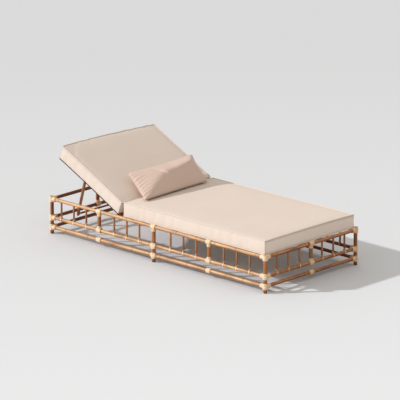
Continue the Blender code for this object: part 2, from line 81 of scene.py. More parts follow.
camera = add_object("camera", bpy.data.cameras.new("camera"))
backwards = Vector((math.sin(AZIMUTH) * math.cos(ELEVATION),
                    -math.cos(AZIMUTH) * math.cos(ELEVATION), math.sin(ELEVATION)))
camera.location = LOOK_AT + backwards * DISTANCE
camera.rotation_euler = (-backwards).to_track_quat("-Z", "Y").to_euler()
camera.data.lens = LENS_MM
camera.data.clip_end = VIEW_END
bpy.context.scene.camera = camera
bpy.context.scene.view_settings.view_transform = "Standard"
print("camera at", [round(v, 2) for v in camera.location])

# %% [markdown]
# ## Node helpers
# A shader is a small graph. `add_node` makes one node and fills its inputs by name, so that
# each finish below reads like a recipe. An input takes a plain value, or the socket of another
# node that it is joined to.

# %% Nodes and their inputs
def new_finish(name):
    """A fresh material, its node tree and its shader."""
    finish = bpy.data.materials.new(name)
    finish.use_nodes = True
    return finish, finish.node_tree, finish.node_tree.nodes["Principled BSDF"]


def fill_socket(tree, socket, value):
    if isinstance(value, bpy.types.NodeSocket):
        tree.links.new(value, socket)
    else:
        socket.default_value = value


def fill_inputs(tree, node, **values):
    """Fills inputs by name, with _ written for a space."""
    for key, value in values.items():
        fill_socket(tree, node.inputs[key.replace("_", " ")], value)


def add_node(tree, kind, settings=None, **inputs):
    made = tree.nodes.new("ShaderNode" + kind)
    for key, value in (settings or {}).items():
        setattr(made, key, value)
    fill_inputs(tree, made, **inputs)
    return made


def calculate(tree, operation, *values):
    made = add_node(tree, "Math", {"operation": operation})
    for socket, value in zip(made.inputs, values):
        fill_socket(tree, socket, value)
    return made.outputs[0]


print("node helpers ready")

# %% Colours, patterns and what a mesh carries
def colour_steps(tree, source, steps):
    """A colour ramp from (place, colour) steps, read at source."""
    ramp = add_node(tree, "ValToRGB", Fac=source)
    marks = ramp.color_ramp.elements
    while len(marks) < len(steps):
        marks.new(0.5)
    for mark, (place, colour) in zip(marks, steps):
        mark.position = place
        mark.color = (*colour, 1)
    return ramp.outputs["Color"]


def remap(tree, source, low, high, start=0.0, stop=1.0):
    """Source, which runs from start to stop, stretched to run from low to high."""
    made = add_node(tree, "MapRange", Value=source)
    for key, value in zip(("From Min", "From Max", "To Min", "To Max"), (start, stop, low, high)):
        made.inputs[key].default_value = value
    return made.outputs["Result"]


def mix_colours(tree, share, first, second, blend="MIX"):
    made = add_node(tree, "Mix", {"data_type": "RGBA", "blend_type": blend})
    for socket, value in zip((made.inputs[0], made.inputs[6], made.inputs[7]),
                             (share, first, second)):
        fill_socket(tree, socket, (*value, 1) if isinstance(value, tuple) else value)
    return made.outputs[2]


def carried(tree, name, output="Fac"):
    """What the mesh carries in an attribute."""
    return add_node(tree, "Attribute", {"attribute_name": name}).outputs[output]


def stretched_noise(tree, source, fineness, detail):
    """Noise that is finer along an axis with a larger number."""
    place = add_node(tree, "Mapping", Vector=source, Scale=fineness).outputs["Vector"]
    return add_node(tree, "TexNoise", Vector=place, Scale=1, Detail=detail).outputs["Fac"]


def bump_from(tree, height, strength, distance):
    bump = add_node(tree, "Bump", Height=height, Strength=strength, Distance=distance)
    return bump.outputs["Normal"]


print("colour helpers ready")

# %% [markdown]
# ## Floor and light
# A plain pale floor and two lights are enough: one sun from the head end, and an even sky
# that fills the shadows. The floor gets slightly darker with distance, as it does in a
# studio where the light falls off.

# %% Floor
FLOOR_HALF = 45
FADE_LENGTH = 4.9
NEAR_FLOOR = (0.80, 0.80, 0.80)
FAR_FLOOR = (0.655, 0.655, 0.655)

floor_finish, tree, shader = new_finish("studio floor")
place = add_node(tree, "TexCoord").outputs["Object"]
turned = add_node(tree, "Mapping", Vector=place, Rotation=(0, 0, -AZIMUTH)).outputs["Vector"]
depth = add_node(tree, "SeparateXYZ", Vector=turned).outputs["Y"]
fade = remap(tree, depth, 0, 1, -FADE_LENGTH, FADE_LENGTH)
fill_inputs(tree, shader, Base_Color=colour_steps(tree, fade, [(0, NEAR_FLOOR), (1, FAR_FLOOR)]),
            Roughness=0.9, Specular_IOR_Level=0.1)

floor_mesh = bpy.data.meshes.new("floor")
floor_mesh.from_pydata([(x * FLOOR_HALF, y * FLOOR_HALF, 0)
                        for x, y in ((-1, -1), (1, -1), (1, 1), (-1, 1))], [], [(0, 1, 2, 3)])
floor = add_object("floor", floor_mesh)
floor_mesh.materials.append(floor_finish)
print("floor is", 2 * FLOOR_HALF, "m wide")

# %% Light
SKY_COLOUR = (1.0, 0.99, 0.965, 1)
SKY_STRENGTH = 0.67
SUN_COLOUR = (0.95, 0.965, 1.0)
SUN_ENERGY = 2.6
SUN_DISC = math.radians(2.0)
SUN_TRAVEL = Vector((0.528, 0.623, -0.490))

sky = bpy.data.worlds.new("studio")
bpy.context.scene.world = sky
sky.use_nodes = True
fill_inputs(sky.node_tree, sky.node_tree.nodes["Background"], Color=SKY_COLOUR,
            Strength=SKY_STRENGTH)

sun = add_object("sun", bpy.data.lights.new("sun", "SUN"))
sun.data.energy = SUN_ENERGY
sun.data.color = SUN_COLOUR
sun.data.angle = SUN_DISC
sun.rotation_euler = SUN_TRAVEL.to_track_quat("-Z", "Y").to_euler()
print("sun stands", round(math.degrees(math.asin(-SUN_TRAVEL.z)), 1), "degrees high")

# %% [markdown]
# ## Cane and peel finishes
# Cane has fine streaks along the pole, patches of honey and brown, and a dark scar at each
# of its joints. The streaks have to follow the pole whichever way it runs. So each pole
# carries its own coordinates, in an attribute called `grain`: the first number runs along
# the pole, and the other two go round it. A second attribute marks the joints, and on the
# peel it marks the grooves and edges that get painted shade.
#
# The light is painted into the cane's colour. Where a rail faces up and out, toward the sun,
# it is painted honey as painted sunlight, and where it faces in or down it is painted a deep
# red-brown as painted shade. Posts and spindles are painted amber, since the high sun only
# grazes them. A third attribute holds how much painted light each point gets.

# %% Cane finish
STREAK_MARKS = (0.28, 0.50, 0.74)
# Painted shade, half-lit amber and painted sunlight: three lit and shaded copies of one cane
# colour.
PAINTED_SHADE_CANE = ((0.070, 0.014, 0.004), (0.145, 0.033, 0.008), (0.25, 0.068, 0.017))
AMBER_CANE = ((0.24, 0.073, 0.017), (0.42, 0.155, 0.040), (0.59, 0.265, 0.088))
PAINTED_SUNLIT_CANE = ((0.40, 0.185, 0.068), (0.585, 0.335, 0.148), (0.76, 0.490, 0.260))
PATCH_STEPS = ((0.32, (0.66, 0.52, 0.44)), (0.50, (1.0, 0.98, 0.92)), (0.70, (1.18, 1.20, 1.14)))
PATCH_SHARE = 0.85
SCAR_COLOUR = (0.13, 0.045, 0.015)

cane_finish, tree, shader = new_finish("honey cane")
grain, painted_light = carried(tree, "grain", "Vector"), carried(tree, "painted_light")
streaks = stretched_noise(tree, grain, (2.5, 330, 330), 3)
patches = stretched_noise(tree, grain, (7, 35, 35), 2)
painted_shade, amber, painted_sunlit = (colour_steps(tree, streaks, list(zip(STREAK_MARKS, colours)))
                        for colours in (PAINTED_SHADE_CANE, AMBER_CANE, PAINTED_SUNLIT_CANE))
# The three copies are mixed by each point's share of painted light.
shade_amber_mix = mix_colours(tree, remap(tree, painted_light, 0, 1, 0, 0.5), painted_shade, amber)
streaky = mix_colours(tree, remap(tree, painted_light, 0, 1, 0.5, 1), shade_amber_mix, painted_sunlit)
varied = mix_colours(tree, PATCH_SHARE, streaky, colour_steps(tree, patches, PATCH_STEPS),
                     "MULTIPLY")
scarred = mix_colours(tree, remap(tree, carried(tree, "scar_and_groove_shade"), 0, 0.8), varied, SCAR_COLOUR)
fill_inputs(tree, shader, Base_Color=scarred, Roughness=remap(tree, streaks, 0.32, 0.46),
            Specular_IOR_Level=0.45, Coat_Weight=0.15, Coat_Roughness=0.25,
            Normal=bump_from(tree, streaks, 0.25, 0.0006))
print("cane finish has", len(tree.nodes), "nodes")

# %% [markdown]
# Peel is the same plant without its bark colour. It is pale and a little waxy, and its fibres
# run with the strip. Shade is painted in the grooves between the turns, and where a binding
# faces away from the painted light it is painted a deeper tan as shade.

# %% Peel finish
FIBRE_STEPS = ((0.30, (0.86, 0.62, 0.38)), (0.55, (0.96, 0.76, 0.52)))
PEEL_TINT = (0.98, 0.82, 0.61)
SHADE_TINT = (0.80, 0.60, 0.45)
GROOVE_COLOUR = (0.46, 0.25, 0.11)

peel_finish, tree, shader = new_finish("pale peel")
grain = carried(tree, "grain", "Vector")
fibres = stretched_noise(tree, grain, (1900, 45, 45), 3)
tints = stretched_noise(tree, grain, (160, 30, 30), 1)
tinted = mix_colours(tree, remap(tree, tints, 0.0, 0.55, 0.35, 0.75),
                     colour_steps(tree, fibres, FIBRE_STEPS), PEEL_TINT)
# Painted shade: a deeper tan where the binding faces away from the light, and darker grooves.
painted_shade_peel = mix_colours(tree, 1.0, tinted, SHADE_TINT, "MULTIPLY")
painted_light_peel = mix_colours(tree, remap(tree, carried(tree, "painted_light"), 0, 1, 0.1, 0.7), painted_shade_peel, tinted)
grooved = mix_colours(tree, remap(tree, carried(tree, "scar_and_groove_shade"), 0, 0.75), painted_light_peel, GROOVE_COLOUR)
fill_inputs(tree, shader, Base_Color=grooved, Roughness=remap(tree, fibres, 0.42, 0.60),
            Normal=bump_from(tree, fibres, 0.2, 0.0003))
print("peel finish has", len(tree.nodes), "nodes")

# %% [markdown]
# ## Building with rings
# Poles and windings are both rows of rings. `Stock` gathers points, faces and the
# attributes, and turns them into one mesh when the piece is whole. A pole's ends are closed
# with a flat cap; a winding is closed by its own inner wall, like a sleeve.

# %% Painted light on a point
# Where a point is, and how it faces, sets how much painted light it gets.
RIM_Y = 0.40                # beyond this, a point is on a long side of the bed
RIM_X = 0.95                # beyond this, at an end
FROM_ABOVE, FROM_ABOVE_INSIDE = 0.5, 0.2
FROM_THE_SIDE, LESS_IF_UPRIGHT = 0.75, 0.5
HEAD_END = -0.6             # at the head end, the outer faces get the painted light, and the inner ones painted shade
SUN_ANYWHERE = 0.22


def painted_light_share(point, facing, upright):
    """How much painted light a point gets: most where a rail faces up and out of the bed,
    toward the sun, less where a pole is upright, and least underneath and inside, where
    it is painted as shade."""
    on_side = abs(point.y) > RIM_Y
    on_rim = on_side or point.x > RIM_X
    out = Vector((0, 0, FROM_ABOVE if on_rim else FROM_ABOVE_INSIDE))
    if on_side:
        out.y = math.copysign(FROM_THE_SIDE - LESS_IF_UPRIGHT * upright, point.y)
    if point.x < -RIM_X:
        out.x = HEAD_END
    return max(0.0, min(1.0, SUN_ANYWHERE + facing.dot(out)))


def mark_points(mesh, name, values, kind="FLOAT"):
    """Gives each point of a mesh a number, or a vector, under a name."""
    field = "vector" if kind == "FLOAT_VECTOR" else "value"
    mesh.attributes.new(name, kind, "POINT").data.foreach_set(field, values)


def ride_piece(piece, body, nodes=()):
    """Attach a piece to the body it moves with, and hide the CAD parts that it stands for."""
    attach(piece, body)
    if nodes:
        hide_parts(*nodes)
    return piece


print("the rim starts", RIM_Y, "m off the middle")

# %% Ring builder
SHARP_ANGLE = math.radians(50)


class Stock:
    """Points, faces and grain of one piece."""

    def __init__(self):
        self.points = []
        self.faces = []
        self.grain = []
        self.scar_and_groove_shade = []
        self.upright = []
        self.lean = 0.0         # how upright the pole is that is being added

    def add_ring(self, ring):
        """Adds (point, grain, scar and painted groove shade) rows and returns their numbers."""
        first = len(self.points)
        for point, grain, scar_and_groove_shade in ring:
            self.points.append(tuple(point))
            self.grain.append(tuple(grain))
            self.scar_and_groove_shade.append(scar_and_groove_shade)
            self.upright.append(self.lean)
        return list(range(first, len(self.points)))

    def bridge(self, low, high):
        for k in range(len(low)):
            after = (k + 1) % len(low)
            self.faces.append((low[k], low[after], high[after], high[k]))

    def add_rod(self, rings):
        """Closed at both ends with a flat cap."""
        rows = [self.add_ring(ring) for ring in rings]
        for low, high in zip(rows, rows[1:]):
            self.bridge(low, high)
        self.faces.append(tuple(reversed(rows[0])))
        self.faces.append(tuple(rows[-1]))

    def add_sleeve(self, rings):
        """Closed by joining the last ring to the first."""
        rows = [self.add_ring(ring) for ring in rings]
        for low, high in zip(rows, rows[1:] + rows[:1]):
            self.bridge(low, high)

    def make(self, name, finish, body, nodes, light_lift=0.0):
        mesh = bpy.data.meshes.new(name)
        mesh.from_pydata(self.points, [], self.faces)
        mark_points(mesh, "grain", [v for row in self.grain for v in row], "FLOAT_VECTOR")
        mark_points(mesh, "scar_and_groove_shade", self.scar_and_groove_shade)
        # Each point's share of painted light, from where it is and how it faces.
        mark_points(mesh, "painted_light", [min(1.0, light_lift + painted_light_share(vert.co, vert.normal, lean))
                                     for vert, lean in zip(mesh.vertices, self.upright)])
        mesh.materials.append(finish)
        mesh.shade_smooth()
        mesh.set_sharp_from_angle(angle=SHARP_ANGLE)
        return ride_piece(add_object(name, mesh), body, nodes)

    def make_cane(self, node, body="frame", light_lift=0.0):
        return self.make("cane_" + node, cane_finish, body, [node], light_lift)

    def make_peel(self, name, body="frame", nodes=()):
        return self.make("peel_" + name, peel_finish, body, nodes)


print("ring builder ready")

# %% [markdown]
# ## One cane pole
# A cane grows in lengths of 150 to 280 mm. At each joint it swells by about half a
# millimetre and keeps a dark scar. Between the joints it is never quite round, so each ring
# gets a slightly different radius. The random numbers are seeded from the pole's own name,
# so every run grows the same pole.

# %% Joints of a cane
FIRST_JOINT = (0.05, 0.16)
JOINT_STEP = (0.15, 0.28)
END_CLEAR = 0.02            # no joint closer than this to the far end
PLAIN_STEP = 0.05
END_ROUND = 0.0008          # the sawn edge of an end, rounded
END_SHRINK = -0.0006
SWELL = [(-0.0090, 0, 0), (-0.0040, 0.0002, 0.15), (-0.0012, 0.0006, 0.9), (0.0003, 0.0001, 1.0),
         (0.0014, 0.0005, 0.7), (0.0040, 0.0001, 0.15), (0.0090, 0, 0)]


def cane_stations(length, luck, jointed):
    """(place, swelling, scar) along a pole, in order."""
    rows = [(0.0, END_SHRINK, 0.5), (END_ROUND, 0, 0.2)]
    spot = luck.uniform(*FIRST_JOINT)
    joints = []
    while jointed and spot < length - END_CLEAR:
        joints.append(spot)
        spot += luck.uniform(*JOINT_STEP)
    rows += [(joint + shift, swell, scar_and_groove_shade) for joint in joints for shift, swell, scar_and_groove_shade in SWELL]
    plain = max(1, round(length / PLAIN_STEP))
    for step in range(1, plain):
        spot = length * step / plain
        if all(abs(spot - joint) > 0.012 for joint in joints):
            rows.append((spot, 0, 0))
    rows += [(length - END_ROUND, 0, 0.2), (length, END_SHRINK, 0.5)]
    return sorted(rows)


print("canes grow in", len(SWELL), "steps at each joint")

# %% Cane pole
CANE_SIDES = 18
SHY = 0.00035               # under the CAD radius, so that a swelling stays close to it
OUT_OF_ROUND = 0.012


def axes_of(direction):
    """Two axes square to a direction."""
    across = direction.orthogonal().normalized()
    return across, direction.cross(across).normalized()


def swing(first, second, angle):
    """The first direction, turned toward the second."""
    return first * math.cos(angle) + second * math.sin(angle)


def ring_row(centre, axes, angle, reach, run, grain_reach, scar_and_groove_shade):
    """One point of a ring, with its grain and its share of scar and painted groove shade."""
    return (centre + swing(*axes, angle) * reach,
            (run, grain_reach * math.cos(angle), grain_reach * math.sin(angle)), scar_and_groove_shade)


def add_cane(stock, start, end, radius, luck, jointed=True, sides=CANE_SIDES):
    start, end = Vector(start), Vector(end)
    direction = (end - start).normalized()
    axes = axes_of(direction)
    shift = luck.uniform(0, 50)
    stock.lean = abs(direction.z)
    rings = []
    for spot, swell, scar_and_groove_shade in cane_stations((end - start).length, luck, jointed):
        uneven = OUT_OF_ROUND * noise.noise((spot * 9, shift, 0))
        rough = radius * (1 + uneven) - SHY + swell
        rings.append([ring_row(start + direction * spot, axes, math.tau * k / sides, rough,
                               spot + shift, radius, scar_and_groove_shade) for k in range(sides)])
    stock.add_rod(rings)


def make_pole(node, start, end, radius, body="frame", jointed=True, seed=None):
    """A cane that stands for a node. Its random numbers go on to what is wound on it."""
    luck = random.Random(seed or node)
    pole = Stock()
    add_cane(pole, start, end, radius, luck, jointed)
    pole.make_cane(node, body)
    return luck


print("a cane has", CANE_SIDES, "sides")

# %% [markdown]
# ## Rails and rungs
# Every straight rail is one cane between two joints. Its ends, height and thickness are
# read from the CAD box of the node that it stands for.

# %% Straight rails of the bed
PLAIN_RAILS = [f"top_rail_{place}" for place in ("left", "right", "head", "foot")]
PLAIN_RAILS += ["mid_rail_head", "low_rail_head", "low_rail_foot"]
PLAIN_RAILS += [f"low_rail_{end}_{side}" for end in ("head", "foot") for side in ("left", "right")]
PLAIN_RAILS += ["deck_spine"] + [f"deck_rung_{number}" for number in range(1, 7)]


def run_of(node):
    """Start, end and radius of a straight pole that lies along X, Y or Z, from its CAD box."""
    low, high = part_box(node)
    size = high - low
    axis = max(range(3), key=lambda a: size[a])
    start = (low + high) / 2
    end = start.copy()
    start[axis], end[axis] = low[axis], high[axis]
    return start, end, min(size) / 2


for node in PLAIN_RAILS:
    make_pole(node, *run_of(node))
make_pole("hinge_rail", *run_of("hinge_rail"), jointed=False)
print(len(PLAIN_RAILS) + 1, "straight rails")

# %% [markdown]
# ## Posts and spindles
# The bed's measures come from the boxes too: the rails give the three heights, and the short
# posts give the places along the sides. Thin spindles stand on the mid rails, three to a bay.

# %% Measures of the bed
def middle_of(node):
    low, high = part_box(node)
    return (low + high) / 2


TOP_Z = middle_of("top_rail_left").z
MID_Z = middle_of("mid_rail_head").z
LOW_Z = middle_of("low_rail_head").z
HALF_LENGTH = middle_of("top_rail_foot").x
HALF_WIDTH = middle_of("top_rail_left").y
RAIL_R = run_of("top_rail_left")[2]
BIND_R = run_of("low_binding_foot_left")[2]
POST_R = 0.0135
FIRST_X = middle_of("short_post_head_left").x
MIDDLE_X = middle_of("middle_post_left").x
THIRD_X = middle_of("short_post_foot_left").x
POSTS_X = [-HALF_LENGTH, FIRST_X, MIDDLE_X, THIRD_X, HALF_LENGTH]
SIDES = {"right": -HALF_WIDTH, "left": HALF_WIDTH}
ENDS = {"head": -HALF_LENGTH, "foot": HALF_LENGTH}
GLIDE_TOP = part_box("foot_glide_head_left")[1].z
POST_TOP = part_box("corner_post_head_left")[1].z
GAP = 0.0003                # between pieces that touch
LONG, WIDE, UP = Vector((1, 0, 0)), Vector((0, 1, 0)), Vector((0, 0, 1))
print("rails at", round(LOW_Z, 3), round(MID_Z, 3), round(TOP_Z, 3), "m")

# %% Posts
CORNER_SHY = 0.002          # a corner post's end, under the peel that covers it

FLOOR_POSTS = [(f"corner_post_{end}_{side}", x, y, POST_TOP - CORNER_SHY)
               for end, x in ENDS.items() for side, y in SIDES.items()]
FLOOR_POSTS += [(f"middle_post_{side}", MIDDLE_X, y, TOP_Z) for side, y in SIDES.items()]
SHORT_POSTS = [(f"short_post_{end}_{side}", x, y, LONG)
               for end, x in (("head", FIRST_X), ("foot", THIRD_X)) for side, y in SIDES.items()]
SHORT_POSTS += [(f"centre_post_{end}", x, 0, WIDE) for end, x in ENDS.items()]
for node, x, y, top in FLOOR_POSTS:
    make_pole(node, (x, y, GLIDE_TOP + GAP), (x, y, top), POST_R)
for node, x, y, _ in SHORT_POSTS:
    make_pole(node, (x, y, MID_Z), (x, y, TOP_Z), POST_R)
print(len(FLOOR_POSTS), "posts to the floor and", len(SHORT_POSTS), "short posts")

# %% Places of the spindles
SPINDLE_R = 0.0070
SPINDLE_SIDES = 12
SPINDLE_STEP = 0.119
SPINDLE_SHIFTS = (-0.016, 0.004, 0.020, -0.002)      # off the middle of each bay, head to foot


def spots_in_bay(bay):
    """Three places a fixed step apart, round a point near the middle of a side bay."""
    middle = (POSTS_X[bay] + POSTS_X[bay + 1]) / 2 + SPINDLE_SHIFTS[bay]
    return [middle - SPINDLE_STEP, middle, middle + SPINDLE_STEP]


spindle_feet = {f"mid_rail_{end}_{side}": [Vector((x, y, MID_Z)) for bay in bays
                                           for x in spots_in_bay(bay)]
                for side, y in SIDES.items()
                for end, bays in (("head", (0, 1)), ("foot", (2, 3)))}
spindle_feet["mid_rail_foot"] = [Vector((HALF_LENGTH, start + HALF_WIDTH * quarter / 4, MID_Z))
                                 for start in (-HALF_WIDTH, 0) for quarter in (1, 2, 3)]
print(sum(len(feet) for feet in spindle_feet.values()), "spindles")

# %% Spindled mid rails
SPINDLE_SUNK = 0.6          # a spindle's foot starts at this share of the rail's radius
SPINDLE_LET_IN = 0.0004     # its head, into the top rail


def mid_rail_run(node):
    """A spindled rail's box is taller than the rail, so its ends are read and its height isn't."""
    low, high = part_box(node)
    if node == "mid_rail_foot":
        return Vector((HALF_LENGTH, low.y, MID_Z)), Vector((HALF_LENGTH, high.y, MID_Z))
    y = (low.y + high.y) / 2
    return Vector((low.x, y, MID_Z)), Vector((high.x, y, MID_Z))


for node, feet in spindle_feet.items():
    rail = Stock()
    luck = random.Random(node)
    add_cane(rail, *mid_rail_run(node), RAIL_R, luck)
    for foot in feet:
        top = Vector((foot.x, foot.y, TOP_Z - RAIL_R + SPINDLE_LET_IN))
        add_cane(rail, foot + UP * (RAIL_R * SPINDLE_SUNK), top, SPINDLE_R, luck,
                 jointed=luck.random() < 0.5, sides=SPINDLE_SIDES)
    rail.make_cane(node)
print(len(spindle_feet), "spindled rails")

# %% [markdown]
# ## Peel windings
# A joint of a cane frame is wound with peel, round the post and along each rail. A winding
# is a sleeve whose outer wall has one shallow groove that climbs like a screw thread: the
# radius follows a cosine of the height plus the angle, so the turns stay separate strips.

# %% Winding
STRIP = 0.0052              # width of one turn
GROOVE = 0.0007
WALL_SUNK = 0.0006          # inner wall, inside the pole
WINDING_SIDES = 16
RINGS_IN_TURN = 5


def add_winding(stock, start, direction, length, radius, core, luck, end_radius=None):
    """Turns of peel from start along direction, round a pole of radius core."""
    start, direction = Vector(start), Vector(direction).normalized()
    end_radius = radius if end_radius is None else end_radius
    axes = axes_of(direction)
    shift = luck.uniform(0, 50)
    steps = max(2, round(length / STRIP)) * RINGS_IN_TURN
    outer = [(length * step / steps, step / RINGS_IN_TURN) for step in range(steps + 1)]
    rings = []
    for spot, turn in [(0, None)] + outer + [(length, None)]:
        full = radius + (end_radius - radius) * spot / length
        at_edge = min(spot, length - spot) < 1e-6
        ring = []
        for k in range(WINDING_SIDES):
            if turn is None:
                reach, scar_and_groove_shade = core - WALL_SUNK, 1.0
            else:
                groove = 0.5 + 0.5 * math.cos(math.tau * (turn + k / WINDING_SIDES))
                reach = full - GROOVE * (1.2 if at_edge else groove)
                # Painted shade in the groove between the turns, less at the winding's ends.
                scar_and_groove_shade = groove ** 2 * (0.5 if at_edge else 1)
            ring.append(ring_row(start + direction * spot, axes, math.tau * k / WINDING_SIDES,
                                 reach, spot + shift, reach, scar_and_groove_shade))
        rings.append(ring)
    stock.add_sleeve(rings)


print("one turn is", STRIP * 1000, "mm wide")

# %% Strap
STRAP_PROFILE = [(-1, -0.5, 0.9), (-1, 0.35, 0.5), (-0.55, 0.95, 0.1), (0, 1.1, 0),
                 (0.55, 0.95, 0.1), (1, 0.35, 0.5), (1, -0.5, 0.9)]      # across, out, scar and painted shade at the strap's edges


def add_strap(stock, points, outward, width, thick, luck):
    """A flat strip of peel through points; outward gives the side that it shows at each."""
    shift = luck.uniform(0, 50)
    rings = []
    run = 0.0
    for k, (point, out) in enumerate(zip(points, outward)):
        ahead = points[min(k + 1, len(points) - 1)] - points[max(k - 1, 0)]
        if k:
            run += (point - points[k - 1]).length
        side = ahead.normalized().cross(out).normalized() * width / 2
        rings.append([(point + side * a + out * thick * b,
                       (a * width / 2 + shift, run, 0), scar_and_groove_shade) for a, b, scar_and_groove_shade in STRAP_PROFILE])
    stock.add_rod(rings)


print("a strap has", len(STRAP_PROFILE), "points round it")

# %% [markdown]
# ## Corner joints
# At a corner, the peel goes round the post in a collar and out along both rails. Two straps
# cross over the collar's outer side, as a binder would finish the knot. The mid and low joints
# of a middle post are made the same way, with a short arm each way.

# %% Collar with arms
COLLAR_HALF = 0.0210
CORNER_ARM = 0.0380
MIDDLE_ARM = 0.0230
ARM_R = 0.0172
ARM_START = 0.008           # inside the collar
STRAP_WIDTH = 0.0050
STRAP_THICK = 0.0009
STRAP_SUNK = 0.0002
STRAP_SWEEP = 1.25          # radians each way round the post
STRAP_CLIMB = 0.62          # share of the collar's height
HALF_STEPS = 6


def crossed_straps(stock, centre, half, outward, luck):
    """Two straps that cross on a collar's outer side."""
    out = Vector(outward).normalized()
    side = UP.cross(out).normalized()
    for lean in (-1, 1):
        shares = [step / HALF_STEPS - 1 for step in range(2 * HALF_STEPS + 1)]
        normals = [swing(out, side, STRAP_SWEEP * share) for share in shares]
        points = [centre + normal * (BIND_R - STRAP_SUNK) + UP * (half * share * lean)
                  for normal, share in zip(normals, shares)]
        add_strap(stock, points, normals, STRAP_WIDTH, STRAP_THICK, luck)


def collar_joint(stock, centre, high, arms, arm_length, outward, luck):
    """A collar that reaches high over its centre, an arm along each rail, and two straps."""
    add_winding(stock, centre - UP * COLLAR_HALF, UP, COLLAR_HALF + high, BIND_R, POST_R, luck)
    for way in arms:
        add_winding(stock, centre + way * ARM_START, way, arm_length - ARM_START, ARM_R, RAIL_R,
                    luck)
    crossed_straps(stock, centre, min(high, COLLAR_HALF) * STRAP_CLIMB, outward, luck)


print("a collar is", COLLAR_HALF * 2000, "mm high")

# %% Corner joints
for end, x in ENDS.items():
    for side, y in SIDES.items():
        peel = Stock()
        luck = random.Random(end + side)
        inward = (LONG * -math.copysign(1, x), WIDE * -math.copysign(1, y))
        for z in (LOW_Z, MID_Z, TOP_Z):
            collar_joint(peel, Vector((x, y, z)), POST_TOP - z if z == TOP_Z else COLLAR_HALF,
                         inward, CORNER_ARM, -(inward[0] + inward[1]), luck)
        peel.make_peel(f"corner_{end}_{side}")
print("4 corners, 3 joints each")

# %% [markdown]
# The top joint of a middle post, like both joints of a short post, is a ring round the rail
# with a neck of peel that narrows along the post.

# %% Middle and short posts
TEE_HALF = 0.0195
NECK_LENGTH = 0.0280
NECK_START = 0.012          # inside the ring
NECK_SPARE = 0.003
NECK_R = 0.0172
NECK_TIP_R = 0.0150


def tee_joint(stock, centre, along, toward, luck):
    """A ring round a rail, and a neck on the post that leaves it toward one side."""
    add_winding(stock, centre - along * TEE_HALF, along, 2 * TEE_HALF, BIND_R, RAIL_R, luck)
    if toward is not None:
        add_winding(stock, centre + toward * NECK_START, toward,
                    NECK_LENGTH - NECK_START + NECK_SPARE, NECK_R, POST_R, luck, NECK_TIP_R)


for side, y in SIDES.items():
    peel = Stock()
    luck = random.Random("middle" + side)
    for z in (LOW_Z, MID_Z):
        collar_joint(peel, Vector((MIDDLE_X, y, z)), COLLAR_HALF, (LONG, -LONG), MIDDLE_ARM,
                     WIDE * math.copysign(1, y), luck)
    tee_joint(peel, Vector((MIDDLE_X, y, TOP_Z)), LONG, -UP, luck)
    peel.make_peel(f"middle_{side}")

for node, x, y, along in SHORT_POSTS:
    peel = Stock()
    luck = random.Random("tee" + node)
    for z, toward in ((TOP_Z, -UP), (MID_Z, UP)):
        tee_joint(peel, Vector((x, y, z)), along, toward, luck)
    peel.make_peel(node)
print("2 middle posts and", len(SHORT_POSTS), "short posts bound")

# %% Bindings on the low rails
for node, x, y, along in SHORT_POSTS:
    name = node.replace("short_post", "low_binding").replace("centre_post", "low_binding")
    name = name if name.endswith(("left", "right")) else name + "_end"
    peel = Stock()
    tee_joint(peel, Vector((x, y, LOW_Z)), along, None, random.Random(name))
    peel.make_peel(name, nodes=[name])
print(len(SHORT_POSTS), "bindings on the low rails")

# %% [markdown]
# ## Spindle feet
# Each spindle is tied down with two thin straps. A strap starts on the spindle's side, runs
# down across its front, under the rail, and up across its back, so each face shows a small V.

# %% Way of a tie
TIE_RISE = 0.017            # over the rail
TIE_WIDTH = 0.0036
TIE_THICK = 0.0008
TIE_APART = 0.0018          # each tie off the spindle's middle, under the rail
TIE_DROP = 0.0015
TIE_STEPS_DOWN = 6
TIE_STEPS_ROUND = 8
TIE_MEETS = 38              # degrees off the top of the rail, where the strap comes onto it


def tie_path(foot, along, outward, hand):
    """The way of one strap, on its left or right hand, with the side that it shows."""
    lift = TIE_THICK * 0.2
    path = []
    for face in (outward, -outward):
        half = []
        for step in range(TIE_STEPS_DOWN + 1):
            share = step / TIE_STEPS_DOWN
            normal = swing(face, along * hand, math.pi / 2 * (1 - share))
            height = RAIL_R + TIE_RISE * (1 - share) ** 1.1 - TIE_DROP * share
            half.append((foot + normal * (SPINDLE_R + lift) + UP * height, normal))
        for step in range(1, TIE_STEPS_ROUND + 1):
            angle = math.radians(TIE_MEETS + (180 - TIE_MEETS) * step / TIE_STEPS_ROUND)
            normal = swing(UP, face, angle)
            half.append((foot + along * hand * TIE_APART + normal * (RAIL_R + lift), normal))
        path += half[-2::-1] if path else half
    return zip(*path)


print("ties are", TIE_WIDTH * 1000, "mm wide")

# %% Ties
ties = Stock()
luck = random.Random("ties")
for node, feet in spindle_feet.items():
    for foot in feet:
        along, outward = (WIDE, LONG) if node == "mid_rail_foot" else \
            (LONG, WIDE * math.copysign(1, foot.y))
        for hand in (-1, 1):
            points, normals = tie_path(foot, along, outward, hand)
            add_strap(ties, points, normals, TIE_WIDTH, TIE_THICK, luck)
ties.make_peel("spindle_ties")
print("ties have", len(ties.points), "points")

# %% [markdown]
# ## Backrest frame
# The backrest was drawn lying flat and then turned up about the hinge rail. Working in the
# same flat frame keeps its numbers simple; one matrix then lifts everything into place.

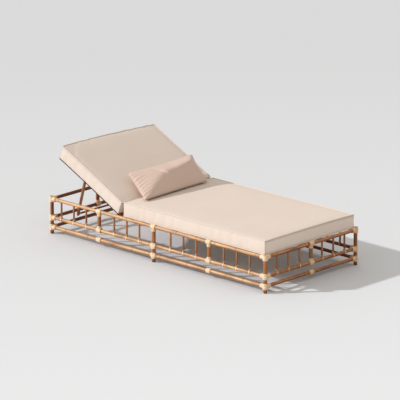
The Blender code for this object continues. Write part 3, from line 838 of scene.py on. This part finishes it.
# %% Backrest stiles
recline = next(joint for joint in frame["joints"] if joint["name"] == "recline")
RECLINE = math.radians(-recline["range_deg"][0])
HINGE = middle_of("hinge_rail")
back_frame = Matrix.Translation(HINGE) @ Matrix.Rotation(RECLINE, 4, "Y")
STILE_Z = 0.0075
STILE_R = 0.0110
STILE_START = -0.0145
STILE_END = -0.575
CROSS_PLACES = [-0.070, -0.220, -0.370]
PIVOT_PLACE = -0.546
EYE_R = 0.0179
EYE_HALF = 0.0158
EYE_CORE = RAIL_R + 0.0010
WRAP_HALF = 0.014
WRAP_R, WRAP_CORE = STILE_R + 0.0007, STILE_R - 0.0003


def on_back(x, y, z):
    """A place on the flat backrest, x towards the foot end, lifted into the room."""
    return back_frame @ Vector((x, y, z))


up_the_back = (back_frame.to_3x3() @ LONG).normalized()
for side in SIDES:
    node = f"back_stile_{side}"
    y = middle_of(node).y
    luck = make_pole(node, on_back(STILE_START, y, STILE_Z), on_back(STILE_END, y, STILE_Z),
                     STILE_R, "backrest")
    wraps = Stock()
    add_winding(wraps, on_back(0, y - EYE_HALF, 0), WIDE, 2 * EYE_HALF, EYE_R, EYE_CORE, luck)
    for spot in CROSS_PLACES + [PIVOT_PLACE]:
        add_winding(wraps, on_back(spot - WRAP_HALF, y, STILE_Z), up_the_back, 2 * WRAP_HALF,
                    WRAP_R, WRAP_CORE, luck)
    wraps.make_peel(node, "backrest")
print("backrest stands", round(math.degrees(RECLINE), 1), "degrees up")

# %% Poles across the backrest
CROSS_Z = 0.0095
CROSS_R = 0.009
PIVOT_R = 0.010


def across_back(node, x, z):
    """Both ends of a pole across the backrest; its CAD box gives how far they reach."""
    low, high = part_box(node)
    return on_back(x, low.y, z), on_back(x, high.y, z)


for number, place in enumerate(CROSS_PLACES, 1):
    node = f"back_cross_pole_{number}"
    make_pole(node, *across_back(node, place, CROSS_Z), CROSS_R, "backrest")
make_pole("prop_pivot_pole", *across_back("prop_pivot_pole", PIVOT_PLACE, 0), PIVOT_R, "backrest",
          jointed=False, seed="pivot")
print(len(CROSS_PLACES), "cross poles and the prop's pivot")

# %% [markdown]
# ## Prop
# Two struts hang from the pivot pole, each with a wound eye, and a crossbar joins them. Each
# foot is let over the mid rail: points of the strut that would be inside the rail are pushed
# out to its surface, which leaves a neat saddle.

# %% Shape of a strut
STRUT_R = 0.0105
STRUT_SIDES = 24
STRUT_TAPER = 0.008
STRUT_TIP_R = 0.0045
STRUT_SHY = 0.0001
CROSSBAR_R = 0.007
SADDLE_R = RAIL_R + 0.0004
FAR_STEP = 0.02             # between rings away from the saddle
NEAR_STEP, NEAR_RINGS = 0.0012, 31      # and near it
NEAR_START = -0.018         # off the middle of the saddle
pivot_middle = middle_of("prop_pivot_pole")
bar_middle = middle_of("prop_crossbar")
rail_middle = Vector((-HALF_LENGTH, 0, MID_Z))
strut_way = (bar_middle - pivot_middle).normalized()
strut_length = (bar_middle - pivot_middle).length + CROSSBAR_R + STRUT_TAPER
saddle_at = (rail_middle - pivot_middle).dot(strut_way)


def strut_radius(spot):
    """Full until near the tip, then a short cone, whose end is rounded."""
    left = strut_length - spot
    cone = STRUT_TIP_R + (STRUT_R - STRUT_TIP_R) * left / STRUT_TAPER
    return min(STRUT_R, cone) - STRUT_SHY - (0.0006 if spot == strut_length else 0)


def strut_spots():
    """Where the rings of a strut are, close together near its foot, where the saddle is cut."""
    spots = [0.010 + FAR_STEP * step for step in range(100)]
    spots = [spot for spot in spots if spot < saddle_at - FAR_STEP]
    spots += [saddle_at + NEAR_START + NEAR_STEP * step for step in range(NEAR_RINGS)]
    spots += [spot for spot in (saddle_at + 0.022, strut_length - STRUT_TAPER,
                                strut_length - 0.004, strut_length - 0.0008)
              if spot > saddle_at + FAR_STEP]
    return sorted(spots + [strut_length])


def add_strut(stock, y):
    start = Vector((pivot_middle.x, y, pivot_middle.z))
    axes = axes_of(strut_way)
    stock.add_rod([[ring_row(start + strut_way * spot, axes, math.tau * k / STRUT_SIDES,
                             strut_radius(spot), spot + y * 9, STRUT_R, 0.0)
                    for k in range(STRUT_SIDES)] for spot in strut_spots()])


def cut_saddle(stock):
    for number, point in enumerate(stock.points):
        away = Vector((point[0] - rail_middle.x, 0, point[2] - rail_middle.z))
        if away.length < SADDLE_R:
            out = away.normalized() * SADDLE_R
            stock.points[number] = (rail_middle.x + out.x, point[1], rail_middle.z + out.z)


print("struts are", round(strut_length, 3), "m long")

# %% Prop
STRUT_EYE_HALF = 0.0118
STRUT_EYE_R, STRUT_EYE_CORE = 0.0163, 0.0112
BAR_TIE_START, BAR_TIE_LENGTH, BAR_TIE_R = 0.0108, 0.012, 0.0080
STRUT_LIGHT_LIFT = 0.22                # the struts get more painted light than the rest

for side in SIDES:
    node = f"prop_strut_{side}"
    y = middle_of(node).y
    luck = random.Random(node)
    strut = Stock()
    add_strut(strut, y)
    cut_saddle(strut)
    strut.make_cane(node, "prop", STRUT_LIGHT_LIFT)
    wraps = Stock()
    add_winding(wraps, (pivot_middle.x, y - STRUT_EYE_HALF, pivot_middle.z), WIDE,
                2 * STRUT_EYE_HALF, STRUT_EYE_R, STRUT_EYE_CORE, luck)
    inward = WIDE * -math.copysign(1, y)
    add_winding(wraps, Vector((bar_middle.x, y, bar_middle.z)) + inward * BAR_TIE_START, inward,
                BAR_TIE_LENGTH, BAR_TIE_R, CROSSBAR_R, luck)
    wraps.make_peel(node, "prop")
make_pole("prop_crossbar", *run_of("prop_crossbar")[:2], CROSSBAR_R, "prop", seed="crossbar")
print("prop has", len(SIDES), "struts and a crossbar")

# %% [markdown]
# ## Glides
# The small discs under the posts keep their CAD shape. They only need a rubber that isn't
# perfectly even.

# %% Glides
RUBBER_STEPS = ((0.35, (0.035, 0.032, 0.030)), (0.7, (0.075, 0.070, 0.064)))

rubber_finish, tree, shader = new_finish("glide rubber")
place = add_node(tree, "TexCoord").outputs["Object"]
specks = add_node(tree, "TexNoise", Vector=place, Scale=900, Detail=3).outputs["Fac"]
fill_inputs(tree, shader, Base_Color=colour_steps(tree, specks, RUBBER_STEPS),
            Roughness=remap(tree, specks, 0.65, 0.9))
glides = [piece for name, piece in frame["nodes"].items() if name.startswith("foot_glide")]
for glide in glides:
    for material_slot in glide.material_slots:
        material_slot.material = rubber_finish
print(len(glides), "glides")

# %% [markdown]
# ## Cushion fabric
# The covers are a plain weave of pale sand yarn. Each cover carries its own cloth
# coordinates in metres, as a UV map laid flat on each panel, and two sine waves across them
# make the warp and the weft. Soft noise stretched along each thread gives thick and thin
# places in the yarn, and a wide noise gives the cover its slight change of tone. Beside the
# seams, a darker tone is painted in as shade, where the seam shade attribute is high.

# %% Cushion fabric
SLUBS = ((90, 1400, 1), (1400, 90, 1))
GAP_SHADE = (0.5, 0.5, 0.5)
# Colour of the painted seam shade, as a share of the dark yarn.
SEAM_SHADE_COLOUR = (0.30, 0.27, 0.25)


def woven_finish(name, dark, light, yarn_mm, sheen):
    finish, tree, shader = new_finish(name)
    cloth = add_node(tree, "UVMap", {"uv_map": "cloth"}).outputs["UV"]
    split = add_node(tree, "SeparateXYZ", Vector=cloth)
    turn = math.pi / (yarn_mm / 1000)
    waves = [calculate(tree, "SINE", calculate(tree, "MULTIPLY", split.outputs[axis], turn))
             for axis in ("X", "Y")]
    weave = calculate(tree, "MULTIPLY", *waves)
    yarn = calculate(tree, "ADD", *(stretched_noise(tree, cloth, slub, 2) for slub in SLUBS))
    tone = stretched_noise(tree, cloth, (3, 3, 1), 4)
    colour = mix_colours(tree, remap(tree, yarn, 0, 1, 0.7, 1.3), dark, light)
    colour = mix_colours(tree, remap(tree, tone, 0.0, 0.35, 0.3, 0.7), colour, light)
    # Darker gaps between the yarns, and painted shade beside the seams.
    for share, shade in ((remap(tree, weave, 0.16, 0.0, -1, 0.2), GAP_SHADE),
                         (remap(tree, carried(tree, "painted_seam_shade"), 0.0, 0.65), SEAM_SHADE_COLOUR)):
        colour = mix_colours(tree, share, colour, tuple(d * s for d, s in zip(dark, shade)))
    height = calculate(tree, "ADD", weave, yarn)
    fill_inputs(tree, shader, Base_Color=colour, Normal=bump_from(tree, height, 0.18, 0.0004),
                Roughness=0.88, Specular_IOR_Level=0.25, Sheen_Weight=sheen, Sheen_Roughness=0.45)
    return finish


cover_finish = woven_finish("sand cover", (0.695, 0.567, 0.473), (0.805, 0.68, 0.583), 1.1, 0.10)
pillow_finish = woven_finish("pillow cover", (0.595, 0.427, 0.337), (0.705, 0.53, 0.437), 1.3, 0.10)
underside_finish = woven_finish("brown mesh", (0.035, 0.016, 0.009), (0.075, 0.037, 0.020),
                                1.6, 0.05)
print("three woven finishes")

# %% [markdown]
# ## Filling a cover
# A cushion gets its shape when its filling pushes on a cover that hardly stretches. Blender's
# cloth does the same: the cover is a closed mesh with pressure inside and no gravity. A firm
# seam is pinned, and a loose one is gathered. How far a point may move is limited softly, so
# that the cover swells to its real size and stops.

# %% Filling
PRESSURE = 2.0


def fill_cover(piece, seam, steps, stiff, soft, bend, pinned, spare):
    """Where the points of a cover settle. seam gives each seam point's share of the work;
    spare is the share by which a loose seam is drawn up, or a pinned cover is cut too large."""
    group = piece.vertex_groups.new(name="seam")
    for number, share in seam.items():
        group.add([number], share, "REPLACE")
    cloth = piece.modifiers.new("filling", "CLOTH")
    fabric = cloth.settings
    fabric.quality = 5
    fabric.tension_stiffness = stiff
    fabric.compression_stiffness = soft
    fabric.shear_stiffness = soft
    fabric.bending_stiffness = bend
    fabric.effector_weights.gravity = 0
    fabric.use_pressure = True
    fabric.uniform_pressure_force = PRESSURE
    fabric.vertex_group_shrink = "seam"
    if pinned:
        fabric.vertex_group_mass = "seam"
        fabric.shrink_min = -spare
        fabric.shrink_max = 0
    else:
        fabric.shrink_max = spare
    cloth.collision_settings.use_collision = False
    cloth.point_cache.frame_end = steps
    for step in range(1, steps + 1):
        bpy.context.scene.frame_set(step)
    settled = piece.evaluated_get(bpy.context.evaluated_depsgraph_get()).data
    spots = [vert.co.copy() for vert in settled.vertices]
    piece.modifiers.remove(cloth)
    bpy.context.scene.frame_set(1)
    return spots


print("a filling presses with", PRESSURE)

# %% Limits and smoothing
def soft_limit(move, most):
    """The same move, its length brought smoothly under a limit."""
    length = move.length
    return move * (most * (1 - math.exp(-length / most)) / length) if length > 1e-9 else move


def smooth_cover(piece):
    """Bakes one level of a subdivision surface into the piece, which keeps its cloth map."""
    rounding = piece.modifiers.new("rounding", "SUBSURF")
    rounding.levels = rounding.render_levels = 1
    rounding.uv_smooth = "PRESERVE_BOUNDARIES"
    baked = bpy.data.meshes.new_from_object(
        piece.evaluated_get(bpy.context.evaluated_depsgraph_get()))
    piece.modifiers.remove(rounding)
    piece.data = baked
    baked.shade_smooth()


print("covers are filled")

# %% [markdown]
# ## Box cushions
# A box cushion is a slab of foam in a cover made of a top, a bottom and a strip round the
# side, joined by two seams with a thin cord in them. The cover is first a plain box whose
# sides are drawn in between the corners, a little smaller than the cushion. Filling it rounds
# every panel between its seams. The seams stay where they are, so the cords follow them.
#
# The back cushion has slid a little under its own weight: its upper face hangs over at the
# head end, and that end isn't quite square. `lean` moves the plain box into that form.

# %% Shape of a box cushion
seat_low, seat_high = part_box("seat_cushion")
CUSHION_WIDTH = seat_high.y - seat_low.y
CUSHION_EDGE = 0.098
CROWN = 0.009               # of a filled cushion
COVER_CROWN = CROWN - 0.005
DRAWN_IN = 0.004
PUCKER, PUCKER_FADE = 0.0016, 0.020
HOLLOW = 0.0020
TOUCH = 1e-6                # closer than this is the same height
END_STRIP, SIDE_STRIP = 0.004, 0.0065    # how far the painted seam shade spreads from a seam
# How much shade is painted beside a seam: on the sides, at the ends, and along the upright edges.
SEAM_SHADE_AMOUNT, END_SEAM_SHADE, UPRIGHT_SEAM_SHADE = 0.5, 1.0, 0.7


class BoxCushion:
    """A plain box that is drawn in, crowned and leaned. Its last argument is how much shade
    is painted beside the upper seam along its two long sides."""

    def __init__(self, length, seed, lean, side_seam_shade):
        self.length, self.seed, self.lean, self.side_seam_shade = length, seed, lean, side_seam_shade
        self.middle = Vector((length / 2, 0, CUSHION_EDGE / 2))

    def shares(self, x, y):
        """How far along and across a place is, from -1 to 1."""
        return 2 * x / self.length - 1, 2 * y / CUSHION_WIDTH

    def place(self, x, y, z):
        along, across = self.shares(x, y)
        upright = z / CUSHION_EDGE
        spot = Vector((x - along ** 5 * DRAWN_IN * (1 - across ** 2),
                       y - across ** 5 * DRAWN_IN * (1 - along ** 2), z))
        spot.z += upright * COVER_CROWN * (1 - along ** 4) * (1 - across ** 4)
        return spot + self.lean(along, across, upright)

    def wrinkle(self, x, y, z):
        """Puckers that run in from the seams, and hollows in the foam."""
        along, across = (abs(share) for share in self.shares(x, y))
        from_end, from_side = self.length / 2 * (1 - along), CUSHION_WIDTH / 2 * (1 - across)
        on_face = z > CUSHION_EDGE - TOUCH
        run = x if from_side < from_end else y
        depth = min(from_end, from_side) if on_face else min(z, CUSHION_EDGE - z)
        pucker = noise.noise((run * 30, self.seed, depth * 12)) * math.exp(-depth / PUCKER_FADE)
        hollow = noise.noise((x * 3.1, y * 3.1, self.seed)) + \
            0.4 * noise.noise((x * 9, y * 7, self.seed))
        return pucker * PUCKER, hollow * HOLLOW if on_face else 0.0

    def painted_seam_shade(self, on_seam, on_upright, x, z):
        """Painted shade along the seams, and on the side strip just beside them, most at the ends.
        """
        amount = SEAM_SHADE_AMOUNT if z < CUSHION_EDGE / 2 else self.side_seam_shade
        if min(x, self.length - x) < END_STRIP:
            amount = END_SEAM_SHADE
        if on_seam:
            return amount
        if min(z, CUSHION_EDGE - z) < SIDE_STRIP and 0 < z < CUSHION_EDGE:
            return amount / 2
        return UPRIGHT_SEAM_SHADE if on_upright else 0.0


print("cushions are", round(CUSHION_WIDTH, 3), "m wide")

# %% Cells and firm edges of a cover
CELL = 0.0175
SEAM_CELL = 0.006           # beside a seam
FIRMNESS = 0.80


def spaced(length):
    """Places from 0 to length about a cell apart, with one more close to each end."""
    count = max(2, round(length / CELL))
    inner = [length * step / count for step in range(1, count)]
    return [0.0, SEAM_CELL] + inner + [length - SEAM_CELL, length]


def firm_edges(mesh, lines):
    """Keeps some edges crisp when the mesh is subdivided."""
    pairs = {tuple(sorted(pair)) for line in lines for pair in zip(line, line[1:])}
    crease = mesh.attributes.new("crease_edge", "FLOAT", "EDGE")
    crease.data.foreach_set("value", [FIRMNESS if tuple(sorted(edge.vertices)) in pairs else 0.0
                                      for edge in mesh.edges])


print("one cell of a cover is", CELL * 1000, "mm")

# %% Cover of a box cushion
def cover_mesh(cushion):
    """The cover in the cushion's own frame, its box places, its two seams as loops, and its
    four upright edges."""
    xs = spaced(cushion.length)
    ys = [y - CUSHION_WIDTH / 2 for y in spaced(CUSHION_WIDTH)]
    zs = spaced(CUSHION_EDGE)
    bm = bmesh.new()
    cloth = bm.loops.layers.uv.new("cloth")
    known, places = {}, []

    def point_at(*place):
        key = tuple(round(v, 6) for v in place)
        if key not in known:
            known[key] = bm.verts.new(cushion.place(*place))
            places.append(place)
        return known[key]

    panels = [(xs, ys, lambda a, b: (a, b, 0.0), True),
              (xs, ys, lambda a, b: (a, b, zs[-1]), False),
              (xs, zs, lambda a, b: (a, ys[0], b), False),
              (xs, zs, lambda a, b: (a, ys[-1], b), True),
              (ys, zs, lambda a, b: (xs[0], a, b), True),
              (ys, zs, lambda a, b: (xs[-1], a, b), False)]
    for number, (first, second, spot, flip) in enumerate(panels):
        for a0, a1 in zip(first, first[1:]):
            for b0, b1 in zip(second, second[1:]):
                corners = [(a0, b0), (a1, b0), (a1, b1), (a0, b1)]
                if flip:
                    corners.reverse()
                face = bm.faces.new([point_at(*spot(a, b)) for a, b in corners])
                face.material_index = 1 if number == 0 else 0
                for loop, corner in zip(face.loops, corners):
                    loop[cloth].uv = corner
    bm.verts.index_update()
    around = [(x, ys[0]) for x in xs[:-1]] + [(xs[-1], y) for y in ys[:-1]]
    around += [(x, ys[-1]) for x in xs[:0:-1]] + [(xs[0], y) for y in ys[:0:-1]]
    seams = [[point_at(x, y, z).index for x, y in around] for z in (0.0, CUSHION_EDGE)]
    uprights = [[point_at(x, y, z).index for z in zs]
                for x in (xs[0], xs[-1]) for y in (ys[0], ys[-1])]
    mesh = bpy.data.meshes.new("cover")
    bm.to_mesh(mesh)
    bm.free()
    return mesh, places, seams, uprights


print("a cover has 6 panels")

# %% Path of a seam cord
CORNER_CUT = 0.006          # off each side of a corner
CORNER_TURN = 0.7           # cosine of the angle that counts as a corner


def round_corners(path):
    """The same closed path, its corners cut with three points each."""
    soft = []
    for k, point in enumerate(path):
        before, after = path[k - 1] - point, path[(k + 1) % len(path)] - point
        if (-before).normalized().dot(after.normalized()) < CORNER_TURN:
            start, stop = (point + way.normalized() * min(CORNER_CUT, way.length * 0.6)
                           for way in (before, after))
            soft += [start, (start + stop + point * 2) / 4, stop]
        else:
            soft.append(point)
    return soft


print("a cord's corners are cut by", CORNER_CUT * 1000, "mm")

# %% Seam cords
CORD_R = 0.0034
CORD_SIDES = 8


def add_cord(bm, cloth, path, middle):
    """A round cord that closes on itself, with cloth coordinates along and round it."""
    count = len(path)
    rings, runs = [], [0.0]
    for k, point in enumerate(path):
        after = path[(k + 1) % count]
        way = (after - path[k - 1]).normalized()
        across = way.cross(point - middle).normalized()
        up = across.cross(way)
        rings.append([bm.verts.new(point + swing(across, up, math.tau * s / CORD_SIDES) * CORD_R)
                      for s in range(CORD_SIDES)])
        runs.append(runs[-1] + (after - point).length)
    for k in range(count):
        low, high = rings[k], rings[(k + 1) % count]
        for s in range(CORD_SIDES):
            after = (s + 1) % CORD_SIDES
            face = bm.faces.new((low[s], high[s], high[after], low[after]))
            spots = ((runs[k], s), (runs[k + 1], s), (runs[k + 1], s + 1), (runs[k], s + 1))
            for loop, (run, turn) in zip(face.loops, spots):
                loop[cloth].uv = (run, turn * math.tau * CORD_R / CORD_SIDES)


def make_cord(name, path, middle, finish, body):
    bm = bmesh.new()
    add_cord(bm, bm.loops.layers.uv.new("cloth"), round_corners(path), middle)
    bmesh.ops.recalc_face_normals(bm, faces=bm.faces)
    mesh = bpy.data.meshes.new(name)
    bm.to_mesh(mesh)
    bm.free()
    mesh.shade_smooth()
    mesh.materials.append(finish)
    ride_piece(add_object(name, mesh), body)


print("seam cords are", CORD_R * 2000, "mm thick")

# %% [markdown]
# The underside of each cushion is dark brown and has its own finish, and on the back cushion
# the lower cord has it too, so a dark line runs along that cushion's lower edge. Along the
# long sides of the seat cushion, no shade is painted beside the upper seam.

# %% Making a cushion
SWELL_MOST = 0.0055
CORD_OUT = 0.0012           # so that a cord stands a little proud of its seam


def make_cushion(name, cushion, move, body, node, lower_finish):
    mesh, places, seams, uprights = cover_mesh(cushion)
    cover = add_object(name, mesh)
    seam = {number: 1.0 for line in seams for number in line}
    settled = fill_cover(cover, seam, steps=16, stiff=20, soft=8, bend=0.4, pinned=True,
                         spare=0.012)
    for vert, spot, (x, y, z) in zip(mesh.vertices, settled, places):
        start = vert.co.copy()
        vert.co = start + soft_limit(spot - start, SWELL_MOST)
        if vert.index not in seam:
            pucker, hollow = cushion.wrinkle(x, y, z)
            vert.co += (start - cushion.middle).normalized() * pucker
            vert.co.z += hollow
        if z < TOUCH:
            vert.co.z = 0.0                  # flat where it rests on the poles
    paths = [[mesh.vertices[number].co.copy() for number in line] for line in seams]
    beside = {number for line in uprights for number in line}
    # Painted shade beside the seams and along the upright edges.
    mark_points(mesh, "painted_seam_shade", [cushion.painted_seam_shade(vert.index in seam, vert.index in beside, x, z)
                               for vert, (x, y, z) in zip(mesh.vertices, places)])
    firm_edges(mesh, [line + line[:1] for line in seams] + uprights)
    smooth_cover(cover)
    cover.data.materials.clear()
    cover.data.materials.append(cover_finish)
    cover.data.materials.append(underside_finish)
    cover.data.transform(move)
    ride_piece(cover, body, [node])
    for level, path, finish, lift in (("lower", paths[0], lower_finish, CORD_R),
                                      ("upper", paths[1], cover_finish, CORD_OUT)):
        path = [move @ (point + UP * lift + (point - cushion.middle).normalized() * CORD_OUT)
                for point in path]
        make_cord(f"{name}_{level}_cord", path, move @ cushion.middle, finish, body)


print("a cover swells up to", SWELL_MOST * 1000, "mm")

# %% Box cushions
SEAT_LENGTH = seat_high.x - seat_low.x
BACK_LENGTH = 0.624
BACK_OVERHANG = 0.006       # lower edge of the back cushion, past the hinge
FACE_SLIDE, LOW_SLIDE = -0.016, -0.008
ASKEW, BOWED, RAGGED = 0.030, 0.012, 0.0035
FAR_SLACK = -0.006
SLUMP, SLUMP_EASES = 0.0085, 0.0040


def back_lean(along, across, upright):
    """The back cushion's slide: its upper face lies further up, and its head end is askew."""
    head = max(0.0, -along)
    far = (across + 1) / 2
    slide = upright * (FACE_SLIDE * head + LOW_SLIDE * (1 - head))
    askew = head ** 2 * (ASKEW * far - BOWED * (1 - across ** 2))
    askew += head ** 8 * RAGGED * noise.noise((across * 9, upright * 0.8, 2.0))
    return Vector((slide + askew, FAR_SLACK * max(0.0, across), FAR_SLACK * upright * far * head))


def seat_lean(along, across, upright):
    """The seat cushion has slumped along its far side, most beside the hinge."""
    far = max(0.0, across) ** 3
    return Vector((0, 0, -upright * far * (SLUMP - SLUMP_EASES * along)))


make_cushion("seat_cover", BoxCushion(SEAT_LENGTH, 3.7, seat_lean, 0.0),
             Matrix.Translation((seat_low.x, 0, seat_low.z)), "frame", "seat_cushion",
             cover_finish)
make_cushion("back_cover", BoxCushion(BACK_LENGTH, 8.2, back_lean, SEAM_SHADE_AMOUNT),
             back_frame @ Matrix.Translation((BACK_OVERHANG - BACK_LENGTH, 0, BIND_R + GAP)),
             "backrest", "back_cushion", underside_finish)
print("seat cushion", round(SEAT_LENGTH, 3), "by", round(CUSHION_WIDTH, 3), "m")

# %% [markdown]
# ## Pillow
# The pillow is two panels sewn together all round. It leans in the valley between the seat
# and the back cushion, and its filling has slumped into a wedge: a steep front that stands
# on the seat, and a flatter slope behind a soft ridge, which runs from one lower corner up to
# the far ear. The front panel is shaped as a roof of a few sloping planes that blend into
# each other; the rear panel is a dome, flattened where it rests. Along the seam that stands on
# the seat, and on the rear panel just behind it, a dark tone is painted in as the shade under
# the pillow. Then the cover is filled, which draws up its ends in gathers.

# %% Pillow sheet
PILLOW_ROWS, PILLOW_COLUMNS = 36, 80
CORNERS = {(-1, -1): Vector((-0.4765, -0.2495, 0.4920)),
           (-1, 1): Vector((-0.4745, 0.3900, 0.4975)),
           (1, -1): Vector((-0.2040, -0.3510, 0.3705)),
           (1, 1): Vector((-0.2155, 0.2880, 0.3710))}


def on_sheet(u, v):
    """A place on the sheet through the four corners; u runs down the pillow and v across."""
    return sum((CORNERS[(a, b)] * ((1 + a * u) / 2 * (1 + b * v) / 2)
                for a, b in CORNERS), Vector())


down = on_sheet(1, 0) - on_sheet(-1, 0)
across = on_sheet(0, 1) - on_sheet(0, -1)
pillow_out = across.cross(down).normalized()
pillow_out = pillow_out if pillow_out.z > 0 else -pillow_out
print("pillow is", round(down.length, 3), "by", round(across.length, 3), "m between its corners")

# %% Front and rear of the pillow
FRONT_SLOPE, BAND_SLOPE = 0.097, 0.0795
BAND_STEEPENS, BAND_TURN = 0.043, 0.10
NEAR_SLOPE, FAR_SLOPE = 0.120, 0.240
ROUNDING = 0.010
ROOF_LIFT, ROOF_DROP = 0.012, 0.004
EDGE_SHARE = 0.05
FOLD_DEPTH, FOLD_WIDTH = 0.026, 0.011
FOLD_U, FOLD_V, FOLD_LENGTH = -0.22, -0.30, 0.25     # of the short fold in the upper band
REAR_DEPTH, REAR_SLOPE = 0.080, 0.094


def soft_least(values, blend):
    """The least of some heights, with the folds between them rounded off."""
    least = min(values)
    return least - blend * math.log(sum(math.exp((least - v) / blend) for v in values))


def front_rise(u, v):
    """The front panel's height over the sheet: front, near end, upper band and far end."""
    band = BAND_SLOPE + BAND_STEEPENS * max(0.0, v - BAND_TURN)
    planes = [FRONT_SLOPE * (1 - u), NEAR_SLOPE * (1 + v), band * (1 + u), FAR_SLOPE * (1 - v)]
    rise = soft_least([plane + ROOF_LIFT for plane in planes], ROUNDING) - ROOF_DROP
    rise = max(0.0, rise) * min(1.0, min(1 - abs(u), 1 - abs(v)) / EDGE_SHARE)
    off_fold = (v - FOLD_V) * 0.32 - (u + 0.02) * 0.10     # in metres
    return rise - FOLD_DEPTH * math.exp(-(off_fold / FOLD_WIDTH) ** 2
                                        - ((u - FOLD_U) / FOLD_LENGTH) ** 2)


def rear_rise(u, v):
    """The rear panel's depth; it leaves the lower seam slowly, so that the seam stays free."""
    return min(REAR_DEPTH * ((1 - u ** 2) ** 0.6) * ((1 - v ** 4) ** 0.9), REAR_SLOPE * (1 - u))


print("ridge stands", round(front_rise(-0.06, 0.12) * 1000), "mm over the sheet")

# %% Gathers and seams of the pillow
HALF_ACROSS = 0.315         # half the pillow's width
NEAR_GATHERS, NEAR_REACH = 0.0056, 0.055
FAR_GATHERS, FAR_REACH = 0.0022, 0.030
PULL_U, PULL_V = 0.085, 0.035
LOWER_PULL = 0.15           # the lower seam stands on the seat, so it is hardly pulled in


def gathers(u, v):
    """Small folds that fan in from the two end seams."""
    near = NEAR_GATHERS * math.exp(-(1 + v) * HALF_ACROSS / NEAR_REACH)
    far = FAR_GATHERS * math.exp(-(1 - v) * HALF_ACROSS / FAR_REACH)
    fan = u * (1.0 + 0.25 * (1 + v))
    folds = math.sin(fan * 30 + 2.2 * noise.noise((u * 3, v * 2, 5)))
    folds += noise.noise((fan * 9, v * 3, 1))
    return (near + far) * folds * (1 - u ** 6)


def pillow_spot(u, v, side):
    """A place on the pillow: side is 1 for its front, -1 for its rear and 0 for the seam. The
    seams are pulled in between the ears."""
    pull_u = PULL_U * (1 - v ** 2) * (1 if u < 0 else LOWER_PULL)
    base = on_sheet(u * (1 - pull_u), v * (1 - PULL_V * (1 - u ** 2)))
    rise, folds = {0: (0.0, 0.7), 1: (front_rise(u, v), 1), -1: (-rear_rise(u, v), 0.5)}[side]
    return base + pillow_out * (rise + gathers(u, v) * folds)


print("gathers are up to", NEAR_GATHERS * 2000, "mm deep")

# %% Pillow cover
SIDE_GATHER, LONG_GATHER = 1.0, 0.1      # shares of gathering at the ends and along the pillow
# Rows of the rear panel next to the seat that get painted shade, and how dark it is.
SEAM_SHADE_ROWS = 5
PILLOW_SEAM_SHADE = 0.9


def pillow_cover():
    """Both panels as one closed mesh, and its seam points with their share of gathering."""
    bm = bmesh.new()
    cloth = bm.loops.layers.uv.new("cloth")
    known, seam = {}, {}
    half = (down.length / 2, across.length / 2)

    def point_at(row, column, side):
        at_end = column in (0, PILLOW_COLUMNS)
        on_seam = row in (0, PILLOW_ROWS) or at_end
        key = (row, column, 0 if on_seam else side)
        u, v = 2 * row / PILLOW_ROWS - 1, 2 * column / PILLOW_COLUMNS - 1
        if key not in known:
            known[key] = bm.verts.new(pillow_spot(u, v, key[2]))
            if on_seam:
                seam[key] = SIDE_GATHER if at_end else LONG_GATHER
        return known[key], (u * half[0], v * half[1])

    for side in (1, -1):
        for row in range(PILLOW_ROWS):
            for column in range(PILLOW_COLUMNS):
                corners = [(row, column), (row + 1, column),
                           (row + 1, column + 1), (row, column + 1)]
                if side < 0:
                    corners.reverse()
                made = [point_at(r, c, side) for r, c in corners]
                face = bm.faces.new([vert for vert, uv in made])
                for loop, (vert, uv) in zip(face.loops, made):
                    loop[cloth].uv = uv
    bmesh.ops.recalc_face_normals(bm, faces=bm.faces)
    bm.verts.index_update()
    shares = {known[key].index: share for key, share in seam.items()}
    # Painted shade under the pillow: along its lower seam and the rear panel behind it.
    painted_seam_shade = [0.0] * len(known)
    for (row, column, side), vert in known.items():
        if row == PILLOW_ROWS or (side < 0 and row > PILLOW_ROWS - SEAM_SHADE_ROWS):
            painted_seam_shade[vert.index] = PILLOW_SEAM_SHADE
    mesh = bpy.data.meshes.new("pillow_cover")
    bm.to_mesh(mesh)
    bm.free()
    mark_points(mesh, "painted_seam_shade", painted_seam_shade)
    return mesh, shares


mesh, pillow_seam = pillow_cover()
print("pillow cover has", len(mesh.vertices), "points before it is smoothed")

# %% Filling and resting the pillow
FILL_MOST = 0.006
seat_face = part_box("pillow")[0].z
off_back = Vector((math.sin(RECLINE), 0, math.cos(RECLINE)))
back_face = HINGE.dot(off_back) + BIND_R + 2 * GAP + CUSHION_EDGE + CROWN


def rest_pillow(point):
    """Flat where it stands on the seat and leans on the back."""
    short = back_face - point.dot(off_back)
    if short > 0:
        point = point + off_back * short
    point.z = max(point.z, seat_face)
    return point


pillow = add_object("pillow_cover", mesh)
filled = fill_cover(pillow, pillow_seam, steps=8, stiff=15, soft=15, bend=0.3, pinned=False,
                    spare=0.06)
moves = [spot - vert.co for vert, spot in zip(mesh.vertices, filled)]
for vert, move in zip(mesh.vertices, moves):
    vert.co = rest_pillow(vert.co + soft_limit(move, FILL_MOST))
smooth_cover(pillow)
pillow.data.materials.append(pillow_finish)
ride_piece(pillow, "pillow", ["pillow"])
print("filling moves it up to", round(max(move.length for move in moves) * 1000), "mm")
